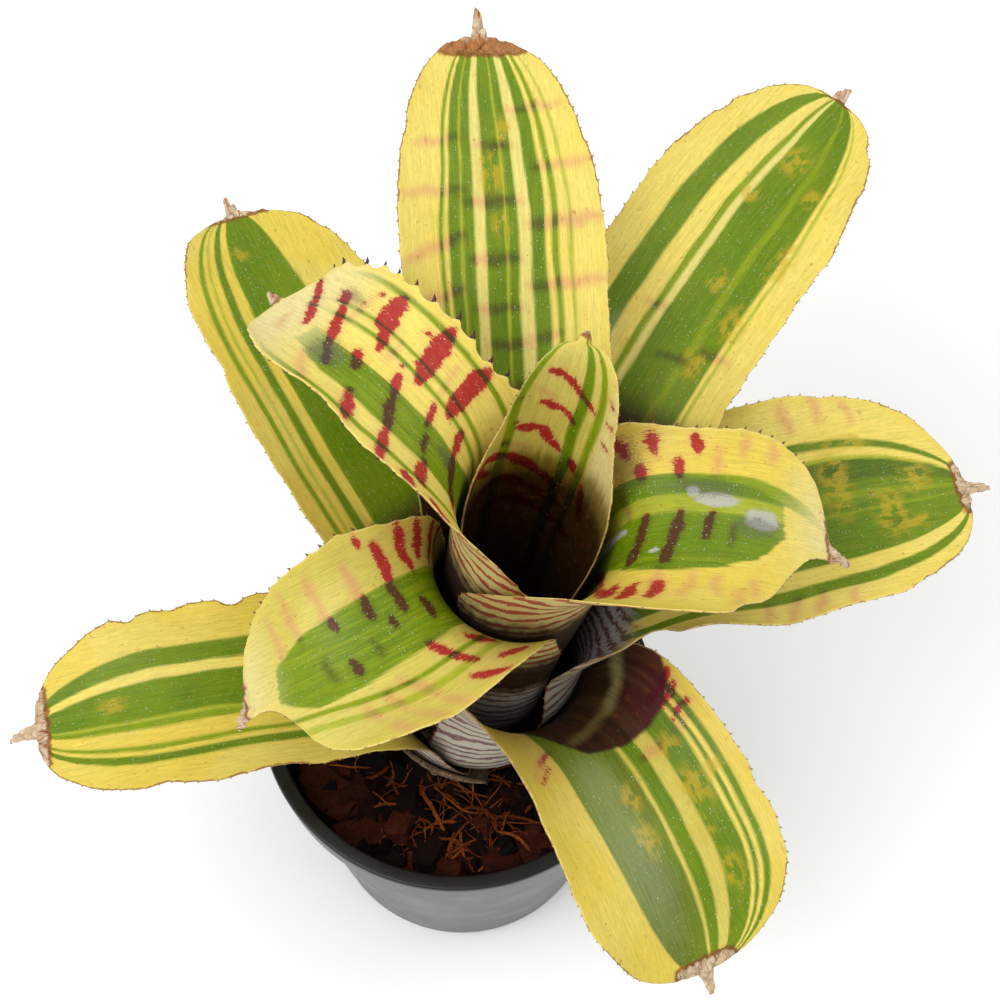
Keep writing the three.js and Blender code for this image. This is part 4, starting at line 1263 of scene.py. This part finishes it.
def leaf_back_skin(name):
    """Under face of a leaf: paler, scurfy, banded with purple towards its foot, and on inner leaves
    darkened there by painted shade of the tank.
    """
    pattern = PATTERNS[name]
    leaf = LEAVES[name]
    n = Nodes("back_" + name)
    flat = n.field("flat")
    s, w, _ = n.parts("flat")
    _, edge, _ = n.parts("place")
    dry, _, _ = n.parts("wear_and_shade")
    inner = is_inner(name)
    pitch = UNDER_BAND_PITCH[inner]
    streak = n.noise(n.scaled(flat, 0.05, 0.9), 3.0, 0.6)
    fine_streak = n.noise(n.scaled(flat, 0.1, 2.4), 3.0, 0.65)
    cloud = n.noise(n.scaled(flat, 0.035, 0.05), 1.0)
    mottle = n.noise(n.scaled(flat, 0.3, 0.4), 3.0, 0.55)
    grain = n.noise(n.scaled(flat, 2.6, 3.4), 2.0, 0.6)
    colour = stripes_of(n, pattern, streak, fine_streak, cloud)
    colour = n.mix(0.42, colour, tone(206, 206, 160))
    foot = n.step(s, leaf["throat"] + leaf["bend"] + 6, leaf["throat"] + 4)
    sheath = tone(214, 196, 128) if inner else WHITE_SHEATH
    colour = n.mix(n.times(foot, 0.85), colour, sheath)
    # Purple bands follow the arch across the leaf.
    bow = n.times(n.math("POWER", n.math("ABSOLUTE", w), 1.6), 0.02)
    drift = n.noise(n.scaled(flat, 0.09, 0.05), 2.0)
    wander = n.add(n.swing(mottle, 1.0), n.swing(drift, 4.0))
    phase = n.times(n.add(s, bow, wander), 2 * math.pi / pitch)
    wave = n.math("SINE", phase)
    width = n.swing(n.noise(n.scaled(flat, 0.16, 0.07), 2.0), 1.0)
    bands = n.step(n.add(wave, n.swing(fine_streak, 0.7), width), 0.15, 0.75)
    reach = n.step(s, leaf["throat"] + 1.5 * leaf["bend"], leaf["throat"] + 0.4 * leaf["bend"])
    ink = n.mix(n.step(fine_streak, 0.35, 0.7), DARK_RED, CRIMSON) if inner else PURPLE
    colour = n.mix(n.times(n.times(bands, reach), 0.86), colour, ink)
    # Inner leaves: painted shade of the tank, nearly black towards the foot with the bands showing
    # through, partly deep maroon colour.
    if inner:
        uneven_s = n.add(s, n.swing(mottle, 6.0))
        deep = n.step(uneven_s, leaf["throat"] + 4, leaf["throat"] - 12)
        if name == "leaf_middle_left":
            deep = n.times(deep, n.step(uneven_s, 40, 50))
            low = n.step(uneven_s, 50, 40)
            banded = n.mix(n.times(bands, 0.8), WHITE_SHEATH, PURPLE)
            colour = n.mix(low, colour, banded)
        colour = n.mix(n.times(deep, 0.97), colour, n.mix(bands, tone(30, 20, 8), DEEP_MAROON))
    scurf = n.step(n.add(n.swing(fine_streak, 0.6), n.swing(grain, 0.4)), -0.15, 0.5)
    colour = n.mix(n.times(scurf, 0.02 if inner else 0.34), colour, tone(226, 224, 216))
    withered = n.step(n.add(dry, n.swing(mottle, 0.5)), 0.4, 0.6)
    colour = n.mix(withered, colour, TAN)
    colour = n.mix(n.times(n.step(edge, 0.5, 0.1), 0.5), colour, RUST)
    height = n.add(n.times(fine_streak, 0.8), n.times(grain, 0.3))
    normal = n.bump(height, 0.0002, 0.7)
    return n.surface(
        colour, 0.58, normal, Subsurface_Weight=0.1, Subsurface_Scale=0.0012,
        Specular_IOR_Level=0.2,
    )


def spine_skin(name, root, point):
    n = Nodes(name)
    flat = n.field("flat")
    colour = n.mix(n.noise(n.scaled(flat, 0.3, 0.3)), root, point)
    return n.surface(colour, 0.5)


def dry_skin(name):
    """Papery dead sheath tissue with long fibres."""
    n = Nodes(name)
    flat = n.field("flat")
    _, edge, _ = n.parts("place")
    fibres = n.noise(n.scaled(flat, 0.1, 2.2), 4.0, 0.7)
    mottle = n.noise(n.scaled(flat, 0.25, 0.3), 4.0, 0.6)
    colour = n.mix(n.step(fibres, 0.36, 0.64), tone(112, 84, 58), tone(190, 164, 130))
    colour = n.mix(n.times(n.step(mottle, 0.5, 0.72), 0.7), colour, tone(80, 54, 36))
    colour = n.mix(n.times(n.step(edge, 1.2, 0.2), 0.6), colour, tone(86, 56, 34))
    height = n.add(fibres, n.times(mottle, 0.8))
    return n.surface(colour, 0.85, n.bump(height, 0.0005, 0.8))


def pot_skin():
    """Satin moulded black plastic, dusty, with fine turning lines; the outer wall is painted grey as a
    reflection.
    """
    n = Nodes("pot_plastic")
    place = n.make("ShaderNodeTexCoord").outputs["Object"]
    dust = n.noise(n.scaled(place, 60, 60, 60), 4.0, 0.6)
    lines = n.noise(n.scaled(place, 3, 3, 900), 2.0, 0.5)
    dusty = n.step(dust, 0.35, 0.75)
    # The outer wall's mid grey is painted reflection of the bright floor on the black plastic, varied by
    # dust; inside and on top it stays near black.
    reflecting_wall = n.mix(dusty, tone(94, 96, 98), tone(112, 112, 112))
    inside = n.mix(dusty, tone(3, 3, 3), tone(9, 9, 9))
    round_z = n.make("ShaderNodeVectorMath", operation="LENGTH")
    n.put(round_z.inputs[0], n.scaled(place, 1.0, 1.0, 0.0))
    height = n.make("ShaderNodeSeparateXYZ")
    n.put(height.inputs[0], place)
    taper = (POT_RIM_RADIUS - POT_BAND_STEP - POT_BASE_RADIUS) / POT_HEIGHT
    wall_at = n.math("MULTIPLY_ADD", height.outputs[2], taper, POT_BASE_RADIUS * MM)
    outward = n.math("SUBTRACT", round_z.outputs["Value"], wall_at)
    below_rim = n.step(height.outputs[2], (POT_HEIGHT - 0.4) * MM, (POT_HEIGHT - 1.6) * MM)
    outside = n.times(n.step(outward, -1.2 * MM, -0.4 * MM), below_rim)
    colour = n.mix(outside, inside, reflecting_wall)
    rough = n.step(dust, 0.3, 0.7, 0.36, 0.5)
    return n.surface(colour, rough, n.bump(lines, 0.00006, 0.6), Specular_IOR_Level=0.4)


def mix_skin():
    """Bark chips and coir: the shade field tells one piece from another."""
    n = Nodes("bark_and_coir")
    place = n.make("ShaderNodeTexCoord").outputs["Object"]
    shade = n.make("ShaderNodeAttribute", attribute_name="shade").outputs["Fac"]
    fine = n.noise(n.scaled(place, 900, 900, 1600), 4.0, 0.65)
    coarse = n.noise(n.scaled(place, 160, 160, 160), 3.0, 0.6)
    bark = n.ramp(shade, [
        (0.0, tone(4, 2, 1)), (0.25, tone(16, 6, 2)), (0.5, tone(38, 12, 3)),
        (0.68, tone(66, 24, 7)), (0.76, tone(88, 50, 28)), (0.82, tone(112, 48, 10)),
        (1.0, tone(160, 84, 26)),
    ])
    colour = n.bright(bark, n.times(n.step(fine, 0.3, 0.7, 0.6, 1.25), n.step(coarse, 0.3, 0.7, 0.7, 1.2)))
    height = n.add(fine, coarse)
    return n.surface(colour, 0.82, n.bump(height, 0.0006, 0.8), Specular_IOR_Level=0.12)


def stem_skin():
    n = Nodes("stem_bark")
    place = n.make("ShaderNodeTexCoord").outputs["Object"]
    grain = n.noise(n.scaled(place, 500, 500, 120), 4.0, 0.6)
    colour = n.mix(n.step(grain, 0.35, 0.65), tone(96, 70, 44), tone(150, 126, 88))
    return n.surface(colour, 0.8, n.bump(grain, 0.0004, 0.8))


# Pot, potting mix and stem ------------------------------------------------------------------------


def wall_radius(z):
    return blend(POT_BASE_RADIUS, POT_RIM_RADIUS - POT_BAND_STEP, z / POT_HEIGHT)


def turned(profile, sides, name, material):
    """A solid of revolution about Z from (radius, height) pairs that start and end on the axis."""
    points = []
    faces = []
    rings = []
    angles = np.linspace(0, 2 * math.pi, sides, endpoint=False)
    for radius, z in profile:
        if radius == 0:
            rings.append([len(points)] * sides)
            points.append((0, 0, z))
        else:
            rings.append(list(range(len(points), len(points) + sides)))
            points.extend((radius * math.cos(a), radius * math.sin(a), z) for a in angles)
    for low, high in zip(rings, rings[1:]):
        for k in range(sides):
            m = (k + 1) % sides
            face = list(dict.fromkeys([low[k], low[m], high[m], high[k]]))
            if len(face) > 2:
                faces.append(tuple(face))
    return build_mesh(name, points, faces, [0] * len(faces), [material])


def rounded(profile, radius, steps=4):
    """A profile with each inner corner rounded off."""
    result = [profile[0]]
    for before, corner, after in zip(profile, profile[1:], profile[2:]):
        before, corner, after = (np.array(p, float) for p in (before, corner, after))
        one, two = before - corner, after - corner
        reach = min(radius, 0.45 * np.linalg.norm(one), 0.45 * np.linalg.norm(two))
        start = corner + one / np.linalg.norm(one) * reach
        end = corner + two / np.linalg.norm(two) * reach
        for k in range(steps + 1):
            t = k / steps
            point = (1 - t) ** 2 * start + 2 * t * (1 - t) * corner + t * t * end
            result.append(tuple(point))
    result.append(profile[-1])
    return result


def pot_piece():
    band = POT_HEIGHT - POT_BAND_HEIGHT
    profile = [
        (0, 0.6),
        (30, 0.6),
        (33, 0),
        (POT_BASE_RADIUS - 1.0, 0),
        (POT_BASE_RADIUS, 1.2),
        (wall_radius(band), band),
        (POT_RIM_RADIUS - 1, band),
        (POT_RIM_RADIUS - 0.4, POT_HEIGHT - 2.4),
        (POT_RIM_RADIUS, POT_HEIGHT - 1.8),
        (POT_RIM_RADIUS - 0.2, POT_HEIGHT),
        (wall_radius(POT_HEIGHT) - POT_WALL - 0.2, POT_HEIGHT),
        (wall_radius(POT_HEIGHT) - POT_WALL - 0.6, POT_HEIGHT - 1),
        (wall_radius(band) - POT_WALL, band - 1),
        (POT_BASE_RADIUS - POT_WALL, POT_FLOOR),
        (0, POT_FLOOR),
    ]
    pot = turned(rounded(profile, 0.6), 160, "pot_fine", pot_skin())
    cutters = []
    for k in range(DRAIN_HOLES):
        angle = 2 * math.pi * k / DRAIN_HOLES
        bpy.ops.mesh.primitive_cylinder_add(
            vertices=32,
            radius=DRAIN_RADIUS * MM,
            depth=8 * MM,
            location=(DRAIN_CIRCLE * MM * math.cos(angle), DRAIN_CIRCLE * MM * math.sin(angle), MM),
        )
        cutters.append(bpy.context.object)
    for cutter in cutters:
        cut = pot.modifiers.new("drain", "BOOLEAN")
        cut.operation = "DIFFERENCE"
        cut.solver = "EXACT"
        cut.object = cutter
    graph = bpy.context.evaluated_depsgraph_get()
    finished = bpy.data.meshes.new_from_object(pot.evaluated_get(graph))
    pot.modifiers.clear()
    pot.data = finished
    pot.data.shade_smooth()
    pot.data.set_sharp_from_angle(angle=math.radians(38))
    for cutter in cutters:
        bpy.data.objects.remove(cutter)
    dress(pot, "pot")


STEM_PROFILE = (
    (0, -30), (7, -27), (11, -14), (15.2, -2), (15.2, 4), (9.2, 14), (4.2, 21), (1.4, 24.5), (0, 25),
)


def stem_piece():
    """The stem, ringed by the scars of lost leaves."""
    heights = np.linspace(-29.9, 24.9, 90)
    places = [z for _, z in STEM_PROFILE]
    radii = np.interp(heights, places, [r for r, _ in STEM_PROFILE])
    scars = 0.22 * np.abs(np.sin(heights * math.pi / 3.1)) ** 0.5 - 0.22
    profile = [(0, -30)] + [(max(r + d, 0.2), z) for r, d, z in zip(radii, scars, heights)] + [(0, 25)]
    stem = turned(profile, 64, "stem_fine", stem_skin())
    flat = np.empty(len(stem.data.vertices) * 3, np.float32)
    stem.data.vertices.foreach_get("co", flat)
    leaning = lean(flat.reshape(-1, 3) / MM) * MM
    stem.data.vertices.foreach_set("co", leaning.astype(np.float32).ravel())
    stem.data.update()
    dress(stem, "stem")


def chip_shape(rng, size):
    """One bark chip: a broken slab, its faces ridged in layers."""
    steps = 4
    points = {}
    faces = []
    order = []

    def corner(key):
        if key not in points:
            points[key] = len(order)
            order.append(key)
        return points[key]

    for axis in range(3):
        for end in (0, steps):
            for i in range(steps):
                for j in range(steps):
                    ring = [(i, j), (i + 1, j), (i + 1, j + 1), (i, j + 1)]
                    face = []
                    for a, b in ring:
                        key = [a, b]
                        key.insert(axis, end)
                        face.append(corner(tuple(key)))
                    faces.append(face if (end == steps) == (axis != 1) else face[::-1])
    grid = np.array(order, float) / steps * 2 - 1
    grid *= (1 - 0.1 * np.abs(grid[:, [1, 2, 0]]) ** 2)
    skew = 1 + rng.uniform(-0.3, 0.3, (2, 2))
    taper = blend(skew[0], skew[1], (grid[:, :1] + 1) / 2)
    grid[:, 1:] *= taper
    ridges = np.sin(grid[:, 1] * rng.uniform(3, 6) + rng.uniform(0, 6))
    grid[:, 2] += 0.16 * ridges * np.sign(grid[:, 2])
    grid += rng.uniform(-0.07, 0.07, grid.shape)
    return grid * np.array(size) / 2, faces


def turn_matrix(rng, tip, turn=None):
    """A random lean of up to tip, and a turn about Z that is random if none is given."""
    a, b = rng.uniform(-tip, tip, 2)
    c = rng.uniform(0, 2 * math.pi) if turn is None else turn
    turn_x = np.array([[1, 0, 0], [0, math.cos(a), -math.sin(a)], [0, math.sin(a), math.cos(a)]])
    turn_y = np.array([[math.cos(b), 0, math.sin(b)], [0, 1, 0], [-math.sin(b), 0, math.cos(b)]])
    turn_z = np.array([[math.cos(c), -math.sin(c), 0], [math.sin(c), math.cos(c), 0], [0, 0, 1]])
    return turn_z @ turn_y @ turn_x


# Bark slabs that lie on top: x, y, (length, width, height), turn about Z in degrees.
LARGE_CHIPS = (
    (-36, -23, (17, 10, 4.5), -35), (-27, -35, (15, 8, 4), 25), (-15, -31, (13, 8, 4), 70),
    (-40, -12, (14, 8, 4), 80), (24, -38, (15, 9, 4.5), 20), (33, -27, (13, 8, 4), -50),
    (13, -43, (12, 7, 3.6), 5), (-4, -45, (12, 6, 3.4), -15), (30, 28, (15, 9, 4), 40),
    (-22, 34, (14, 9, 4), -20), (4, 42, (13, 8, 4), 10),
)
FIBRE_TUFT = (1.5, -31.0)  # where the coir lies thickest
SMALL_CHIPS = 330
FIBRES = 200
TUFT_FIBRES = 110
SPIRAL_TURN = 2.39996  # the golden angle, which spreads the chips evenly
FIBRE_STATIONS = 12
FIBRE_SIDES = 5
BODY_SIDES = 96


def mix_limit(z):
    return wall_radius(z) - POT_WALL - MIX_GAP - 0.4


def mix_piece():
    rng = np.random.default_rng(11)
    points = []
    faces = []
    shades = []

    def put(new_points, new_faces, shade):
        base = len(points)
        for p in new_points:
            limit = mix_limit(p[2]) - 0.2
            reach = math.hypot(p[0], p[1])
            if reach > limit:
                p = np.array([p[0] * limit / reach, p[1] * limit / reach, p[2]])
            points.append(p)
            shades.append(shade)
        faces.extend([v + base for v in face] for face in new_faces)

    body_points, body_faces = mix_body(rng)
    put(body_points, body_faces, 0.1)
    for k in range(SMALL_CHIPS):
        turn = k * SPIRAL_TURN
        reach = 17 + 31 * math.sqrt((k + 0.5) / SMALL_CHIPS)
        large = rng.uniform() ** 1.5
        size = (4 + 9 * large, 2.5 + 6 * large, 1.6 + 3 * large)
        grid, chip_faces = chip_shape(rng, size)
        grid = grid @ turn_matrix(rng, 0.7).T
        place = (reach * math.cos(turn), reach * math.sin(turn), MIX_LEVEL + rng.uniform(-0.8, 2.4))
        shade = rng.choice([0.12, 0.3, 0.42, 0.55, 0.66, 0.76], p=[0.2, 0.25, 0.2, 0.16, 0.12, 0.07])
        put(grid + np.array(place), chip_faces, shade)
    for x, y, size, turn in LARGE_CHIPS:
        grid, chip_faces = chip_shape(rng, size)
        grid = grid @ turn_matrix(rng, 0.35, turn * DEGREE).T
        put(grid + np.array((x, y, MIX_LEVEL + 2.6)), chip_faces, rng.uniform(0.6, 0.7))
    for k in range(FIBRES):
        if k < TUFT_FIBRES:
            x, y = rng.normal(FIBRE_TUFT, (9, 10))
        else:
            turn = rng.uniform(0, 2 * math.pi)
            reach = 18 + 28 * math.sqrt(rng.uniform())
            x, y = reach * math.cos(turn), reach * math.sin(turn)
        start = np.array([x, y, MIX_LEVEL + rng.uniform(0.8, 3.6)])
        thick = rng.uniform(0.14, 0.34) if k % 4 else rng.uniform(0.34, 0.6)
        strand_points, strand_faces = strand(rng, start, rng.uniform(8, 28), thick)
        put(strand_points, strand_faces, rng.uniform(0.8, 1.0))
    piece = build_mesh(
        "potting_mix_fine", points, faces, [0] * len(faces), [mix_skin()],
        {"shade": np.array(shades)}, smooth=False,
    )
    dress(piece, "potting_mix")


def mix_body(rng):
    """The dark crumb under the chips, from the pot's floor to the level of the mix."""
    sides = BODY_SIDES
    radii = np.linspace(0, 1, 26)[1:]
    angles = np.linspace(0, 2 * math.pi, sides, endpoint=False)
    points = [np.array([0, 0, MIX_LEVEL - 2.0])]
    for share in radii:
        for angle in angles:
            reach = share * mix_limit(MIX_LEVEL)
            x, y = reach * math.cos(angle), reach * math.sin(angle)
            z = MIX_LEVEL - 1.2 + rng.uniform(-1.3, 1.0)
            points.append(np.array([x, y, z]))
    for share in (0.5, 0.0):
        z = blend(POT_FLOOR + MIX_GAP, MIX_LEVEL, share)
        for angle in angles:
            reach = mix_limit(z)
            points.append(np.array([reach * math.cos(angle), reach * math.sin(angle), z]))
    faces = [[0, 1 + k, 1 + (k + 1) % sides] for k in range(sides)]
    for ring in range(len(radii) + 1):
        for k in range(sides):
            a = 1 + ring * sides + k
            b = 1 + ring * sides + (k + 1) % sides
            faces.append([a, a + sides, b + sides, b])
    last = 1 + (len(radii) + 1) * sides
    faces.append([last + k for k in range(sides)][::-1])
    return points, faces


def strand(rng, start, length, radius):
    """A coir fibre that wanders over the chips."""
    count = FIBRE_STATIONS
    heading = rng.uniform(0, 2 * math.pi)
    bend = rng.uniform(-0.25, 0.25)
    line = [start]
    height = start[2]
    for k in range(1, count):
        heading += bend + rng.uniform(-0.25, 0.25)
        step = length / count
        lift = 1.6 * math.sin(math.pi * k / count) - 1.4 * (k / count)
        x = line[-1][0] + step * math.cos(heading)
        y = line[-1][1] + step * math.sin(heading)
        line.append(np.array([x, y, height + lift + rng.uniform(-0.15, 0.15)]))
    points = []
    faces = []
    for k, p in enumerate(line):
        along = line[min(k + 1, count - 1)] - line[max(k - 1, 0)]
        side = np.array([-along[1], along[0], 0.0])
        side /= max(np.linalg.norm(side), 1e-6)
        up = np.cross(along / max(np.linalg.norm(along), 1e-6), side)
        thin = radius * (1 - 0.5 * abs(2 * k / (count - 1) - 1) ** 3)
        for a in range(FIBRE_SIDES):
            angle = a / FIBRE_SIDES * 2 * math.pi
            points.append(p + side * math.cos(angle) * thin + up * math.sin(angle) * thin)
    for k in range(count - 1):
        low = k * FIBRE_SIDES
        high = low + FIBRE_SIDES
        for a in range(FIBRE_SIDES):
            b = (a + 1) % FIBRE_SIDES
            faces.append([low + a, low + b, high + b, high + a])
    return points, faces


# Studio -------------------------------------------------------------------------------------------

# Camera, in mm and degrees, and the round lamps: place, size across in mm, power in watts.
CAMERA_PLACE = (11.8, -221.3, 676.8)
CAMERA_ELEVATION = 64
CAMERA_LENS = 80
CAMERA_SENSOR = 36
LAMPS = {"key": ((-350, -250, 900), 600, 5.0), "fill": ((500, 200, 800), 700, 1.9)}
LAMP_AIM = (0, 0, 120)
SKY_STRENGTH = 0.76
FLOOR_REACH = 3000


def studio():
    scene = bpy.context.scene
    scene.view_settings.view_transform = "Standard"
    scene.view_settings.look = "None"
    world = bpy.data.worlds.new("studio")
    world.use_nodes = True
    background = world.node_tree.nodes["Background"]
    background.inputs["Color"].default_value = (1.0, 1.0, 1.0, 1)
    background.inputs["Strength"].default_value = SKY_STRENGTH
    scene.world = world

    floor_nodes = Nodes("studio_floor")
    floor_skin = floor_nodes.surface((0.95, 0.95, 0.95), 0.9)
    size = FLOOR_REACH
    corners = [(-size, -size, -0.05), (size, -size, -0.05), (size, size, -0.05), (-size, size, -0.05)]
    floor = build_mesh("floor", corners, [(0, 1, 2, 3)], [0], [floor_skin])

    for name, (place, across, power) in LAMPS.items():
        softbox(name, place, across, power)


def softbox(name, place, size, power):
    lamp = bpy.data.lights.new(name, "AREA")
    lamp.shape = "DISK"
    lamp.size = size * MM
    lamp.energy = power
    piece = bpy.data.objects.new(name, lamp)
    piece.location = [v * MM for v in place]
    aim = np.array(LAMP_AIM) - np.array(place)
    piece.rotation_euler = (
        math.atan2(math.hypot(aim[0], aim[1]), -aim[2]), 0, math.atan2(aim[0], -aim[1]) + math.pi,
    )
    bpy.context.scene.collection.objects.link(piece)


def camera():
    lens = bpy.data.cameras.new("camera")
    lens.lens = CAMERA_LENS
    lens.sensor_width = CAMERA_SENSOR
    lens.clip_start = 0.01
    lens.clip_end = 20
    piece = bpy.data.objects.new("camera", lens)
    piece.location = [v * MM for v in CAMERA_PLACE]
    piece.rotation_euler = ((90 - CAMERA_ELEVATION) * DEGREE, 0, 0)
    bpy.context.scene.collection.objects.link(piece)
    bpy.context.scene.camera = piece


def build():
    camera()
    studio()
    pot_piece()
    mix_piece()
    stem_piece()
    spine_skins = {
        "crimson": spine_skin("spine_crimson", tone(96, 20, 30), tone(60, 14, 20)),
        "brown": spine_skin("spine_brown", tone(150, 96, 44), tone(104, 58, 28)),
        "tan": spine_skin("spine_tan", tone(226, 196, 96), tone(150, 92, 44)),
    }
    for seed, name in enumerate(PATTERNS):
        spine = spine_skins[SPINES[name][4]]
        leaf_piece(name, seed + 1, leaf_skin(name), leaf_back_skin(name), spine)
    husk = dry_skin("dry_tissue")
    leaf_piece("dry_sheath", 23, husk, husk, husk)


build()
